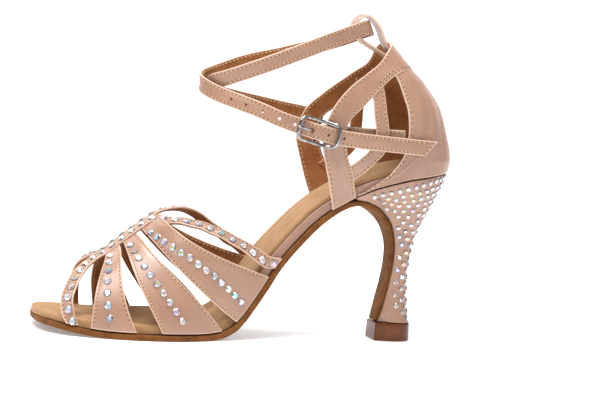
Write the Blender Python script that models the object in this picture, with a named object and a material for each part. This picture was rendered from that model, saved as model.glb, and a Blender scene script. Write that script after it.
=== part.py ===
"""Latin dance sandal, left shoe, size EU 37, with a flared 85 mm heel.

Frame: +X runs towards the toe, +Y towards the outer side of the foot, +Z up. The origin is the
middle of the heel tip's face on the floor. Lengths are in metres.

The sole is a ribbon that follows one line: flat under the ball, steep up the shank, then down the
front of the heel. The straps of the upper are sheets between two edges, thickened and joined.
"""

import math

import bmesh
import bpy
import numpy as np
from mathutils import Vector

MM = 0.001

# Main sizes
SOLE_RUN = 184.0 * MM  # floor distance from the heel tip's centre to the toe
SEAT_HEIGHT = 88.0 * MM  # floor to the top of the heel block at its back
SEAT_BACK = 22.4 * MM  # distance that the seat reaches behind the heel tip's centre
BALL_WIDTH = 70.5 * MM  # insole board across the ball of the foot
SEAT_WIDTH = 45.0 * MM  # insole board across the heel
TOE_SPRING = 3.6 * MM
OUTSOLE_THICKNESS = 3.0 * MM
OUTSOLE_SHARES = ((0.0, 0.12, 0.62, 0.80, 1.0), (0.92, 1.0, 1.0, 0.85, 0.65))  # along it, thickness
BOARD_THICKNESS = 4.4 * MM
BOARD_SHARES = (1.0, 0.72, 0.50, 0.20)  # its thickness at the waist, ball, toes and tip
BOARD_TIP = 1.0 * MM  # half the board's width at its very ends
BOARD_FRONT = 0.975  # share of SOLE_RUN at which the board ends inside the sock
SOCK_THICKNESS = 1.5 * MM
SOCK_RIM = 1.4 * MM  # thickness of the sock where it wraps the board's edge
SOCK_CROWN = 0.3 * MM  # rise of the sock's middle over its sides
SOCK_ROUND = 1.3 * MM  # rounding of its upper edge
SOCK_INSET = 0.75 * MM  # sock's side to the upper, beyond the usual clearance
TIP_HEIGHT = 9.2 * MM
TIP_LENGTH = 20.6 * MM
TIP_WIDTH = 19.2 * MM
HEEL_WAIST = 14.0 * MM  # greatest width of the heel at its thinnest

# Upper sizes
WALL = 1.5 * MM
CLEARANCE = 0.3 * MM
RIDGE_HEIGHT = 58.8 * MM  # floor to the top of the vamp's centre line
RIDGE_SIDE = -2.0 * MM  # the vamp's centre line lies towards the big toe
EDGE_STRAP_WIDTH = 6.4 * MM
EDGE_STRAP_LIFT = 0.95 * MM  # rise of the edge straps over the fan straps that they cross
EDGE_STRAP_SPACING = 3.6 * MM
COUNTER_HEIGHT = 139.0 * MM  # floor to the top of the heel counter
COLLAR_HEIGHT = 151.5 * MM  # floor to the top of the collar
COLLAR_EASE = 6.0 * MM  # by how much the collar is wider than the seat, at the buckle's height
COLLAR_LIFT = 0.7 * MM  # rise of the collar band over the counter that it is sewn on

# Ankle strap and buckle sizes
STRAP_WIDTH = 7.8 * MM
STRAP_THICKNESS = 1.5 * MM
HOLE_RADIUS = 0.75 * MM
HOLE_PITCH = 8.6 * MM
HOLES_IN_FRONT = 5
HOLES_BEHIND = 2
BUCKLE_LENGTH = 22.5 * MM
BUCKLE_HEIGHT = 13.4 * MM
BUCKLE_CORNER = 3.4 * MM
BUCKLE_WIRE = 1.9 * MM
BAR_DEPTH = 3.5 * MM  # distance from the ankle strap's middle in to the buckle's centre bar
PRONG_WIRE = 1.2 * MM
PRONG_HOLE_RADIUS = 1.3 * MM
BAR_RADIUS = 0.45 * BUCKLE_WIRE
END_BAR_GAP = CLEARANCE + 0.4 * MM  # strap to the frame's end bars, which lie over it
TAB_THICKNESS = 1.1 * MM
SLOT_FORWARD = 2.5 * MM  # centre of the tab's slot for the prong, in front of the centre bar
LOOP_WIDTH = 9.0 * MM
LOOP_THICKNESS = 1.2 * MM

COLLAR_WIDTH = SEAT_WIDTH + COLLAR_EASE
STEER = 10.0 * MM  # length that a direction has beside the places of a smooth line
WALL_OFFSET = CLEARANCE + WALL / 2  # board edge to the middle of the upper's wall
FOOT_CLEARANCE = 2.5 * CLEARANCE  # outsole to the middle of the wall's lower edge
COUNTER_CLEARANCE = 0.95 * MM  # seat line to the middle of the counter's lower edge
OUTSOLE_MARGIN = CLEARANCE + WALL + CLEARANCE  # board edge to the outsole's edge

# Sole line from the toe to the back of the seat.
# forward: share of SOLE_RUN; rise: share of the seat's rise; spring: share of TOE_SPRING;
# width: the size that the two half widths are shares of.
SOLE_ROWS = (
    # forward, rise, spring, width, lateral, medial
    (0.9995, 0.000, 1.00, "ball", 0.020, 0.120),
    (0.9940, 0.000, 1.00, "ball", 0.110, 0.220),
    (0.9780, 0.000, 0.95, "ball", 0.225, 0.310),
    (0.9480, 0.000, 0.76, "ball", 0.320, 0.375),
    (0.9000, 0.000, 0.38, "ball", 0.402, 0.425),
    (0.8400, 0.000, 0.10, "ball", 0.463, 0.462),
    (0.7600, 0.000, 0.00, "ball", 0.500, 0.492),
    (0.6800, 0.000, 0.00, "ball", 0.503, 0.505),
    (0.6100, 0.000, 0.00, "ball", 0.470, 0.500),
    (0.5620, 0.001, 0.00, "ball", 0.425, 0.470),
    (0.5160, 0.013, 0.00, "ball", 0.375, 0.425),
    (0.4850, 0.042, 0.00, "ball", 0.342, 0.385),
    (0.4600, 0.092, 0.00, "ball", 0.318, 0.350),
    (0.4345, 0.166, 0.00, "ball", 0.297, 0.320),
    (0.4020, 0.272, 0.00, "ball", 0.278, 0.292),
    (0.3710, 0.385, 0.00, "ball", 0.262, 0.268),
    (0.3340, 0.492, 0.00, "seat", 0.392, 0.394),
    (0.2980, 0.582, 0.00, "seat", 0.378, 0.378),
    (0.2620, 0.664, 0.00, "seat", 0.372, 0.370),
    (0.2250, 0.732, 0.00, "seat", 0.378, 0.374),
    (0.1900, 0.783, 0.00, "seat", 0.398, 0.390),
    (0.1576, 0.8235, 0.00, "seat", 0.423, 0.412),
    (0.1050, 0.8790, 0.00, "seat", 0.466, 0.455),
    (0.0500, 0.9190, 0.00, "seat", 0.494, 0.490),
    (0.0000, 0.9480, 0.00, "seat", 0.500, 0.500),
)
# Rounded back of the seat: shares of SEAT_BACK behind the heel tip's centre, and of SEAT_WIDTH.
SEAT_ROWS = (
    # back, half
    (0.280, 0.477),
    (0.523, 0.414),
    (0.700, 0.331),
    (0.812, 0.247),
    (0.868, 0.184),
    (0.905, 0.125),
    (0.925, 0.070),
)
SEAT_SLOPE = 0.18  # rise of the seat towards its back

# Front of the heel, from the seat's front end down to the tip.
# forward: share of SOLE_RUN; height: share of SEAT_HEIGHT; half: share of SEAT_WIDTH
BREAST_ROWS = (
    # forward, height, half
    (0.1576, 0.8170, 0.400),
    (0.1300, 0.8120, 0.365),
    (0.1030, 0.7960, 0.315),
    (0.0760, 0.7690, 0.262),
    (0.0505, 0.7250, 0.212),
    (0.0326, 0.6740, 0.175),
    (0.0212, 0.6130, 0.148),
    (0.0152, 0.5450, 0.133),
    (0.0147, 0.4770, 0.127),
    (0.0180, 0.4020, 0.127),
    (0.0250, 0.3110, 0.130),
    (0.0337, 0.2270, 0.132),
    (0.0435, 0.1360, 0.118),
    (0.0475, 0.1085, 0.095),
)
# Back of the heel block, level for level with BREAST_ROWS.
# back: share of SEAT_BACK; height: share of SEAT_HEIGHT; half: greatest half width as a share of
# SEAT_WIDTH, or of HEEL_WAIST where "waist" is named
HEEL_BACK_ROWS = (
    # back, height, width, half
    (1.000, 0.9960, "seat", 0.5400),
    (0.930, 0.9350, "seat", 0.5050),
    (0.850, 0.8800, "seat", 0.4450),
    (0.750, 0.8180, "seat", 0.3650),
    (0.620, 0.7460, "seat", 0.2900),
    (0.500, 0.6760, "seat", 0.2250),
    (0.405, 0.6070, "waist", 0.5700),
    (0.350, 0.5450, "waist", 0.5150),
    (0.312, 0.4770, "waist", 0.5000),
    (0.290, 0.4020, "waist", 0.5050),
    (0.292, 0.3110, "waist", 0.5350),
    (0.322, 0.2270, "waist", 0.5800),
    (0.375, 0.1360, "waist", 0.6350),
    (0.415, 0.1085, "waist", 0.6500),
)
BREAST_CORNER = 1.15  # the heel's front corners lie this much wider than the sole's flap
TIP_BACK = -0.485  # where the tip's back end lies, as a share of TIP_LENGTH
TIP_TAPER = 0.97  # size of the tip's top compared with its floor face
TIP_FRONT = 0.84  # width of the tip's square front compared with its widest

# Vamp's centre line. forward: share of SOLE_RUN; height: share of RIDGE_HEIGHT
RIDGE_ROWS = (
    # forward, height
    (0.870, 0.500),
    (0.842, 0.575),
    (0.815, 0.640),
    (0.788, 0.708),
    (0.761, 0.782),
    (0.734, 0.850),
    (0.716, 0.893),
    (0.691, 0.948),
    (0.674, 0.980),
    (0.650, 1.010),
)
# Edges of the fan straps in side view, as shares of SOLE_RUN: on the sole, at two shares of the
# way up to the centre line, and on it
FAN_LEVELS = (0.0, 0.35, 0.70, 1.0)
LATERAL_FANS = (
    # front edge: foot, low, high, ridge; back edge: foot, low, high, ridge
    (0.872, 0.866, 0.850, 0.815, 0.753, 0.783, 0.791, 0.780),
    (0.686, 0.727, 0.761, 0.772, 0.514, 0.595, 0.681, 0.739),
    (0.473, 0.579, 0.666, 0.726, 0.386, 0.528, 0.628, 0.674),
)
MEDIAL_FANS = (
    # front edge: foot, low, high, ridge; back edge: foot, low, high, ridge
    (0.806, 0.817, 0.824, 0.815, 0.690, 0.728, 0.760, 0.780),
    (0.638, 0.682, 0.740, 0.772, 0.492, 0.565, 0.660, 0.739),
    (0.452, 0.568, 0.655, 0.726, 0.372, 0.520, 0.612, 0.674),
)
# Middle line of one edge strap, from its front foot over the ridge to its rear foot.
# forward: share of SOLE_RUN; side: distance from the ridge as a share of BALL_WIDTH, or "foot" on
# the sole, or "ridge" where the strap lies on the fan straps; height: share of RIDGE_HEIGHT
EDGE_ROWS = (
    # lateral: forward, side, height; medial: forward, side, height
    (0.9185, "foot", 0.000, 0.8620, "foot", 0.000),
    (0.9300, 0.404, 0.187, 0.8660, 0.435, 0.187),
    (0.9315, 0.362, 0.292, 0.8680, 0.400, 0.292),
    (0.9175, 0.291, 0.396, 0.8690, 0.340, 0.396),
    (0.8980, 0.206, 0.482, 0.8680, 0.255, 0.482),
    (0.8740, 0.128, 0.546, 0.8620, 0.165, 0.555),
    (0.8480, 0.080, 0.600, 0.8470, 0.093, 0.606),
    (0.8150, "ridge", 0.000, 0.8150, "ridge", 0.000),
    (0.7850, "ridge", 0.000, 0.7850, "ridge", 0.000),
    (0.7550, "ridge", 0.000, 0.7550, "ridge", 0.000),
    (0.7250, "ridge", 0.000, 0.7250, "ridge", 0.000),
    (0.6950, "ridge", 0.000, 0.6980, "ridge", 0.000),
    (0.6500, 0.135, 0.952, 0.6680, 0.070, 1.005),
    (0.6210, 0.165, 0.958, 0.6350, 0.090, 1.030),
    (0.5970, 0.195, 0.945, 0.5950, 0.125, 1.028),
    (0.5700, 0.222, 0.932, 0.5580, 0.160, 0.985),
    (0.5420, 0.250, 0.900, 0.5250, 0.190, 0.915),
    (0.5150, 0.272, 0.873, 0.4850, 0.220, 0.838),
    (0.4870, 0.292, 0.828, 0.4560, 0.250, 0.775),
    (0.4560, 0.305, 0.782, 0.4280, 0.272, 0.735),
    (0.4240, 0.312, 0.722, 0.4060, 0.285, 0.690),
    (0.3920, 0.316, 0.665, 0.3860, 0.292, 0.655),
    (0.3630, "foot", 0.000, 0.3630, "foot", 0.000),
)

# Form of the quarter, level by level. height: share of COLLAR_HEIGHT; back: share of SEAT_BACK
# behind the heel tip's centre; half, front: half widths at the widest place and at FORM_FRONT, and
# round: depth of the rounded back, as shares of SEAT_WIDTH
FORM_FRONT = 45.0 * MM
FORM_MERGE = 22.0 * MM  # height over which the form widens from the board's edge
BACK_FREE = 0.20  # bands follow the form beyond this share of SEAT_WIDTH from the middle
BACK_BLEND = 0.155  # share of SEAT_WIDTH over which they come on to it
QUARTER_ROWS = (
    # height, back, half, front, round
    (0.560, 0.980, 0.522, 0.535, 0.488),
    (0.620, 1.040, 0.540, 0.550, 0.495),
    (0.660, 0.995, 0.550, 0.562, 0.490),
    (0.706, 0.890, 0.555, 0.568, 0.480),
    (0.752, 0.790, 0.550, 0.562, 0.460),
    (0.792, 0.680, 0.535, 0.540, 0.430),
    (0.825, 0.528, 0.512, 0.512, 0.400),
    (0.851, 0.380, 0.490, 0.485, 0.375),
    (0.878, 0.236, 0.468, 0.455, 0.350),
    (0.913, -0.040, 0.428, 0.425, 0.320),
    (0.931, -0.128, 0.410, 0.405, 0.300),
    (0.957, -0.315, 0.385, 0.380, 0.270),
    (1.000, -0.590, 0.345, 0.340, 0.230),
)

# Heel counter, level by level. rise: height of its back, as a share of the way from the seat to
# COUNTER_HEIGHT; forward, height: its front edge, as shares of SOLE_RUN and COUNTER_HEIGHT
COUNTER_ROWS = (
    # rise, forward, height
    (0.000, 0.1540, 0.5280),
    (0.120, 0.1260, 0.5500),
    (0.225, 0.0860, 0.5900),
    (0.333, 0.0600, 0.6310),
    (0.430, 0.0390, 0.6810),
    (0.550, 0.0305, 0.7650),
    (0.667, 0.0360, 0.8475),
    (0.784, 0.0480, 0.8960),
    (0.892, 0.0620, 0.9460),
    (1.000, 0.0790, 0.9890),
)
# Collar band: it runs from the back of the collar down each side to the sole. forward: share of
# SOLE_RUN; height: share of COLLAR_HEIGHT; set back: how much further back the medial band lies,
# as a share of COLLAR_WIDTH
COLLAR_ROWS = (
    # front: forward, height; rear: forward, height; set back
    (0.0725, 0.998, 0.0060, 0.908, 0.000),
    (0.0800, 0.988, 0.0180, 0.910, 0.010),
    (0.0950, 0.970, 0.0400, 0.911, 0.055),
    (0.1170, 0.932, 0.0700, 0.896, 0.105),
    (0.1576, 0.890, 0.1080, 0.856, 0.105),
    (0.2000, 0.848, 0.1420, 0.812, 0.105),
    (0.2300, 0.808, 0.1700, 0.776, 0.075),
    (0.2570, 0.756, 0.1980, 0.740, 0.025),
    (0.2717, 0.690, 0.2100, 0.698, 0.000),
    (0.2717, 0.649, 0.2040, 0.650, 0.000),
    (0.2630, 0.607, 0.1957, 0.612, 0.000),
    (0.2480, 0.545, 0.1800, 0.570, 0.000),
    (0.2340, 0.488, 0.1680, 0.520, 0.000),
)
COLLAR_TOP = (1.000, 0.906)  # heights of the band's edges at the back of the collar
COLLAR_FOOT = (0.2210, 0.1600)  # front and rear edge of the band's foot on the sole line
# Crescent strap inside each side of the collar, from the collar to the band's lower part
CRESCENT_ROWS = (
    # front: forward, height; rear: forward, height; set back
    (0.1500, 0.872, 0.1120, 0.880, 0.110),
    (0.1380, 0.818, 0.1040, 0.838, 0.100),
    (0.1320, 0.755, 0.0960, 0.772, 0.045),
    (0.1235, 0.700, 0.0868, 0.704, 0.010),
    (0.1375, 0.646, 0.0946, 0.638, 0.000),
    (0.1630, 0.613, 0.1200, 0.600, 0.000),
    (0.1860, 0.591, 0.1470, 0.566, 0.000),
    (0.2060, 0.573, 0.1740, 0.540, 0.000),
)

# Middle line of the ankle strap, from its sewn end on the medial band, round the front, to the
# loop at the back, round the front again and through the buckle to its tip.
# forward: share of SOLE_RUN; side: share of COLLAR_WIDTH; height: share of COLLAR_HEIGHT;
# lean: forward tilt of the strap's upper edge, in degrees
ROUTE_ROWS = (
    # forward, side, height, lean
    (0.1960, -0.545, 0.7290, -8),
    (0.2500, -0.552, 0.7380, -8),
    (0.3100, -0.532, 0.7480, -9),
    (0.3910, -0.462, 0.7640, -9),
    (0.4670, -0.345, 0.7790, -8),
    (0.5200, -0.190, 0.7930, -5),
    (0.5530, -0.075, 0.8100, 0),
    (0.5610, 0.000, 0.8210, 5),
    (0.5540, 0.085, 0.8330, 12),
    (0.5280, 0.190, 0.8480, 20),
    (0.4460, 0.270, 0.8900, 23),
    (0.3370, 0.262, 0.9460, 23),
    (0.2300, 0.190, 1.0010, 23),
    (0.1640, 0.130, 1.0320, 23),
    (0.1400, 0.092, 1.0420, 23),
    (0.1270, 0.050, 1.0430, 23),
    (0.1215, 0.000, 1.0410, 23),
    (0.1270, -0.050, 1.0370, 23),
    (0.1400, -0.092, 1.0290, 23),
    (0.1640, -0.135, 1.0140, 23),
    (0.2300, -0.205, 0.9810, 22),
    (0.3370, -0.290, 0.9360, 20),
    (0.4460, -0.305, 0.8990, 18),
    (0.5260, -0.250, 0.8620, 16),
    (0.5720, -0.130, 0.8400, 6),
    (0.5840, 0.000, 0.8250, 0),
    (0.5730, 0.115, 0.8100, -8),
    (0.5430, 0.240, 0.7920, -18),
    (0.5000, 0.370, 0.7740, -20),
    (0.4510, 0.470, 0.7550, -20),
    (0.3990, 0.540, 0.7310, -19),
    (0.3460, 0.582, 0.7120, -17),
    (0.2910, 0.597, 0.6950, -15),
    (0.2390, 0.592, 0.6830, -10),
    (0.1850, 0.578, 0.6760, -6),
    (0.1090, 0.556, 0.6700, -5),
    (0.0330, 0.545, 0.6655, -4),
    (-0.0330, 0.532, 0.6615, -4),
)
# Centre bar of the buckle. height: share of half the buckle's height; depth: share of BAR_DEPTH
BAR_ROWS = (
    # height, depth
    (1.00, 0.45),
    (0.86, 0.80),
    (0.66, 1.00),
    (0.00, 1.00),
    (-0.66, 1.00),
    (-0.86, 0.80),
    (-1.00, 0.45),
)
# Prong above the strap. forward: share of half the buckle's length; lift: share of its rest height
PRONG_ROWS = (
    # forward, lift
    (0.36, 0.38),
    (0.48, 0.76),
    (0.80, 0.97),
    (1.00, 1.00),
    (1.12, 0.94),
)
BUCKLE_STATION = 0.2910  # the buckle's centre on the route, as its forward share
TAIL_CUT = 0.75  # slant of the strap's tip, as a share of its width

# Tab that carries the buckle, inside the collar band, from the counter to the centre bar.
TAB_ROWS = (
    # forward, side, height
    (0.0380, 0.462, 0.6900),
    (0.1090, 0.433, 0.6900),
    (0.1850, 0.446, 0.6910),
    (0.2450, 0.453, 0.6930),
    (0.2690, 0.466, 0.6940),
)
# Loop that holds the ankle strap at the back, in the plane of the shoe's middle, from its outer
# end inside the collar over the strap to its inner end.
LOOP_ROWS = (
    # forward, height
    (0.0522, 0.9558),
    (0.0761, 0.9888),
    (0.0859, 1.0112),
    (0.0935, 1.0337),
    (0.1033, 1.0528),
    (0.1141, 1.0667),
    (0.1266, 1.0785),
    (0.1413, 1.0825),
    (0.1549, 1.0746),
    (0.1663, 1.0568),
    (0.1658, 1.0323),
    (0.1500, 1.0033),
    (0.1212, 0.9835),
    (0.0967, 0.9690),
    (0.0772, 0.9564),
    (0.0647, 0.9459),
)

SQUARE_STEPS = 6.0  # steps over which an edge strap turns square to the sole at its feet

# Surface colours and finishes as seen on the real shoe
SATIN = ("satin", (0.62, 0.42, 0.33), 0.42, 0.0)
SUEDE = ("suede", (0.42, 0.21, 0.09), 0.95, 0.0)
SOCK_SUEDE = ("sock_suede", (0.55, 0.35, 0.19), 0.9, 0.0)
HEEL_PLASTIC = ("tip_plastic", (0.13, 0.045, 0.015), 0.35, 0.0)
NICKEL = ("nickel", (0.62, 0.62, 0.60), 0.18, 1.0)


def clear_scene():
    for old in list(bpy.data.objects):
        bpy.data.objects.remove(old)


def material(name, colour, roughness, metallic):
    made = bpy.data.materials.get(name)
    if made is None:
        made = bpy.data.materials.new(name)
        made.use_nodes = True
        shader = made.node_tree.nodes["Principled BSDF"]
        shader.inputs["Base Color"].default_value = (*colour, 1.0)
        shader.inputs["Roughness"].default_value = roughness
        shader.inputs["Metallic"].default_value = metallic
    return made


def add_object(name, bm, finish):
    """A scene object from a bmesh, with its faces turned outwards and its material set."""
    bmesh.ops.recalc_face_normals(bm, faces=bm.faces)
    mesh = bpy.data.meshes.new(name)
    bm.to_mesh(mesh)
    bm.free()
    obj = bpy.data.objects.new(name, mesh)
    bpy.context.scene.collection.objects.link(obj)
    obj.data.materials.append(material(*finish))
    obj.data.shade_smooth()
    obj.data.set_sharp_from_angle(angle=math.radians(40))
    return obj


def add_boolean(target, tool, operation):
    """Joins or cuts with a guide object, which stays in the scene but isn't part of the shoe."""
    modifier = target.modifiers.new(tool.name, "BOOLEAN")
    modifier.operation = operation
    modifier.solver = "EXACT"
    modifier.object = tool
    tool.hide_render = True
    tool.display_type = "WIRE"


def spline(rows, count):
    """Points evenly spaced on the smooth curve through the rows."""
    rows = np.array(rows, float)
    steps = np.linalg.norm(np.diff(rows, axis=0), axis=1)
    along = np.concatenate([[0.0], np.cumsum(steps)])
    slopes = np.diff(rows, axis=0) / steps[:, None]
    tangents = np.empty_like(rows)
    tangents[0], tangents[-1] = slopes[0], slopes[-1]
    before, after = steps[:-1, None], steps[1:, None]
    tangents[1:-1] = (slopes[:-1] * after + slopes[1:] * before) / (before + after)
    at = np.linspace(0.0, along[-1], count)
    which = np.clip(np.searchsorted(along, at, side="right") - 1, 0, len(steps) - 1)
    span = steps[which, None]
    t = ((at - along[which]) / steps[which])[:, None]
    start, end = rows[which], rows[which + 1]
    leave, arrive = tangents[which] * span, tangents[which + 1] * span
    return (
        (2 * t**3 - 3 * t**2 + 1) * start
        + (t**3 - 2 * t**2 + t) * leave
        + (3 * t**2 - 2 * t**3) * end
        + (t**3 - t**2) * arrive
    )


def unit(vectors):
    return vectors / np.linalg.norm(vectors, axis=-1, keepdims=True)


def tangents_of(points):
    return unit(np.gradient(points, axis=0))


def cap(bm, loop, laddered):
    """Closes a ring with one face, or with rungs between its two sides where it isn't flat."""
    if not laddered:
        bm.faces.new(loop)
        return
    i, j = 0, len(loop) - 1
    while j - i > 1:
        corners = [loop[i], loop[i + 1], loop[j - 1], loop[j]]
        bm.faces.new(corners if j - i > 2 else corners[:2] + corners[3:])
        i, j = i + 1, j - 1


def loft(rings, laddered=False):
    """A closed solid through rings of equally many points, capped at both ends."""
    bm = bmesh.new()
    loops = [[bm.verts.new(point) for point in ring] for ring in rings]
    for first, second in zip(loops, loops[1:]):
        for i in range(len(first)):
            j = (i + 1) % len(first)
            bm.faces.new((first[i], first[j], second[j], second[i]))
    cap(bm, loops[0], laddered)
    cap(bm, loops[-1], laddered)
    return bm


def sheet(grid, thickness):
    """A closed wall of even thickness about a grid of surface points."""
    grid = np.asarray(grid)
    along = np.gradient(grid, axis=0)
    across = np.gradient(grid, axis=1)
    normal = unit(np.cross(along, across))
    outer, inner = grid + normal * thickness / 2, grid - normal * thickness / 2
    rows, columns = grid.shape[:2]
    rings = []
    for i in range(rows):
        ring = [outer[i, j] for j in range(columns)]
        rings.append(ring + [inner[i, j] for j in reversed(range(columns))])
    return loft(rings, laddered=True)


# Sole line


def sole_point(row):
    forward, rise, spring, width, lateral, medial = row
    size = BALL_WIDTH if width == "ball" else SEAT_WIDTH
    height = OUTSOLE_THICKNESS + rise * (SEAT_HEIGHT - OUTSOLE_THICKNESS) + spring * TOE_SPRING
    return forward * SOLE_RUN, height, lateral * size, medial * size


def seat_point(row):
    back, half = row
    reach = back * SEAT_BACK
    front = sole_point(SOLE_ROWS[-1])
    return -reach, front[1] + reach * SEAT_SLOPE, half * SEAT_WIDTH, half * SEAT_WIDTH


def board_line(count):
    """Stations of the insole board: forward, height of its underside, both half widths."""
    rows = [sole_point(row) for row in SOLE_ROWS] + [seat_point(row) for row in SEAT_ROWS]
    return spline(rows, count)


BOARD_LINE = board_line(400)


def sole_at(forward):
    """Height of the board's underside and its two half widths at a place on the sole line."""
    order = np.argsort(BOARD_LINE[:, 0])
    table = BOARD_LINE[order]
    return [float(np.interp(forward, table[:, 0], table[:, k])) for k in (1, 2, 3)]


def foot_point(forward, lateral):
    """Where the middle of the upper's wall stands on the outsole, outside the board."""
    height, wide, narrow = sole_at(forward)
    side = wide + WALL_OFFSET if lateral else -(narrow + WALL_OFFSET)
    return np.array([forward, side, height + FOOT_CLEARANCE])


def ribbon_rings(stations, section):
    """Rings of a sole layer: section(k) gives side and depth pairs in the station's own plane."""
    middle = stations[:, :2]
    tangent = tangents_of(middle)
    normal = np.stack([-tangent[:, 1], tangent[:, 0]], axis=1)
    normal *= np.sign(normal[0, 1])
    rings = []
    for k in range(len(stations)):
        ring = []
        for side, lift in section(k):
            x, z = middle[k] + normal[k] * lift
            ring.append((x, side, z))
        rings.append(ring)
    return rings


def make_outsole():
    """Suede sole: under the board, then down the front of the heel as its flap."""
    front = [sole_point(row) for row in SOLE_ROWS if row[0] > 0.18]
    flap = [
        (forward * SOLE_RUN, height * SEAT_HEIGHT, half * SEAT_WIDTH - OUTSOLE_MARGIN,
         half * SEAT_WIDTH - OUTSOLE_MARGIN)
        for forward, height, half in BREAST_ROWS
    ]
    stations = spline(front + flap[1:], 62)
    share = np.linspace(0.0, 1.0, len(stations))
    thickness = np.interp(share, *OUTSOLE_SHARES) * OUTSOLE_THICKNESS
    edge = 0.30 * OUTSOLE_THICKNESS

    def section(k):
        depth = thickness[k]
        lateral = stations[k, 2] + OUTSOLE_MARGIN
        medial = -(stations[k, 3] + OUTSOLE_MARGIN)
        return (
            (lateral, -edge * 0.4),
            (lateral - edge * 0.4, 0.0),
            (medial + edge * 0.4, 0.0),
            (medial, -edge * 0.4),
            (medial, -depth + edge),
            (medial + edge, -depth),
            (lateral - edge, -depth),
            (lateral, -depth + edge),
        )

    rings = ribbon_rings(stations, section)
    last = rings[-1]
    lowest = TIP_HEIGHT + CLEARANCE
    rings[-1] = [(x, y, max(z, lowest)) for x, y, z in last]
    return add_object("outsole", loft(rings), SUEDE)


def forepart(forward, start, end):
    """0 behind the first share of SOLE_RUN, 1 in front of the second, smooth between."""
    t = np.clip((forward / SOLE_RUN - start) / (end - start), 0.0, 1.0)
    return t * t * (3 - 2 * t)


def board_depth(forward):
    """Thickness of the board: full up to the waist, thinner under the ball and the toes."""
    return BOARD_THICKNESS * float(np.interp(forward / SOLE_RUN, [0.38, 0.52, 0.90, 1.0], BOARD_SHARES))


def make_board():
    """Insole board, covered in satin where its edge shows at the waist and the seat."""
    stations = board_line(46)
    stations = stations[stations[:, 0] < BOARD_FRONT * SOLE_RUN]

    def section(k):
        inset = forepart(stations[k, 0], 0.385, 0.415) * (SOCK_INSET + SOCK_RIM + CLEARANCE)
        lateral = max(stations[k, 2] - inset, BOARD_TIP)
        medial = min(-(stations[k, 3] - inset), -BOARD_TIP)
        bottom, top = CLEARANCE, CLEARANCE + board_depth(stations[k, 0])
        return ((lateral, bottom), (lateral, top), (medial, top), (medial, bottom))

    rings = ribbon_rings(stations, section)
    return add_object("insole_board", loft(rings), SATIN)


def make_sock():
    """Suede sock on the board. Over the forefoot it is padded and its rim wraps the board."""
    stations = board_line(46)

    def section(k):
        fore = forepart(stations[k, 0], 0.42, 0.45)
        inset = SOCK_INSET * (2.0 - fore)
        lateral = stations[k, 2] - inset
        medial = -(stations[k, 3] - inset)
        board_top = CLEARANCE + board_depth(stations[k, 0])
        under = board_top + CLEARANCE * (2.0 - fore)
        rim_bottom = (board_top + CLEARANCE) * (1.0 - fore) + CLEARANCE * fore
        top = under + SOCK_THICKNESS
        if stations[k, 0] > BOARD_FRONT * SOLE_RUN:
            under = rim_bottom + CLEARANCE / 3
        crown = top + SOCK_CROWN
        half = (lateral - medial) / 2
        rim = min(SOCK_RIM - SOCK_INSET * (1.0 - fore), 0.35 * half)
        soft = min(SOCK_ROUND, 0.3 * half)
        return (
            (lateral - rim, rim_bottom),
            (lateral, rim_bottom + 0.2 * soft),
            (lateral, top - soft),
            (lateral - 0.4 * soft, top - 0.3 * soft),
            (lateral - 1.4 * soft, top),
            ((lateral + medial) / 2, crown),
            (medial + 1.4 * soft, top),
            (medial + 0.4 * soft, top - 0.3 * soft),
            (medial, top - soft),
            (medial, rim_bottom + 0.2 * soft),
            (medial + rim, rim_bottom),
            (medial + rim, under),
            (lateral - rim, under),
        )

    rings = ribbon_rings(stations, section)
    return add_object("sock", loft(rings), SOCK_SUEDE)


# Heel


def heel_ring(front, back, front_half, widest):
    """A D-shaped ring: square at the front of the heel and round at its back."""
    half_steps = 4
    round_steps = 8
    front, back = np.array(front), np.array(back)
    side = []
    for i in range(half_steps):
        t = i / half_steps
        ease = math.sin(t * math.pi / 2)
        side.append((0.5 * t, front_half + (widest - front_half) * ease))
    for i in range(round_steps):
        angle = i / round_steps * math.pi / 2
        side.append((0.5 + 0.5 * math.sin(angle), widest * math.cos(angle)))
    ring = []
    for share, half in side:
        x, z = front + (back - front) * share
        ring.append((x, half, z))
    ring.append((back[0], 0.0, back[1]))
    for share, half in reversed(side):
        x, z = front + (back - front) * share
        ring.append((x, -half, z))
    return ring


def heel_levels(count):
    """Heel block levels, from the seat down: front and back points and both half widths."""
    rows = []
    for (forward, height, half), (back, back_height, size, widest) in zip(BREAST_ROWS, HEEL_BACK_ROWS):
        width = SEAT_WIDTH if size == "seat" else HEEL_WAIST
        rows.append(
            (
                forward * SOLE_RUN,
                height * SEAT_HEIGHT,
                -back * SEAT_BACK,
                back_height * SEAT_HEIGHT,
                half * SEAT_WIDTH * BREAST_CORNER,
                widest * width,
            )
        )
    return spline(rows, count)


def make_heel():
    rings = []
    for level in heel_levels(17):
        front, back = level[0:2], level[2:4]
        behind_flap = (front[0] - CLEARANCE, front[1] + CLEARANCE)
        rings.append(heel_ring(behind_flap, back, min(level[4], level[5]), level[5]))
    rings[0] = [(x, y, sole_at(x)[0]) for x, y, z in rings[0]]
    lowest = TIP_HEIGHT + CLEARANCE
    rings[-1] = [(x, y, lowest) for x, y, z in rings[-1]]
    return add_object("heel_block", loft(rings, laddered=True), SATIN)


def make_tip():
    """Plastic top piece of the heel, square in front and round behind."""
    rings = []
    for height, size in ((0.0, 1.0), (TIP_HEIGHT, TIP_TAPER)):
        back = TIP_BACK * TIP_LENGTH * size
        front = back + TIP_LENGTH * size
        widest = TIP_WIDTH / 2 * size
        rings.append(heel_ring((front, height), (back, height), widest * TIP_FRONT, widest))
    return add_object("heel_tip", loft(rings), HEEL_PLASTIC)


# Vamp


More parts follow.
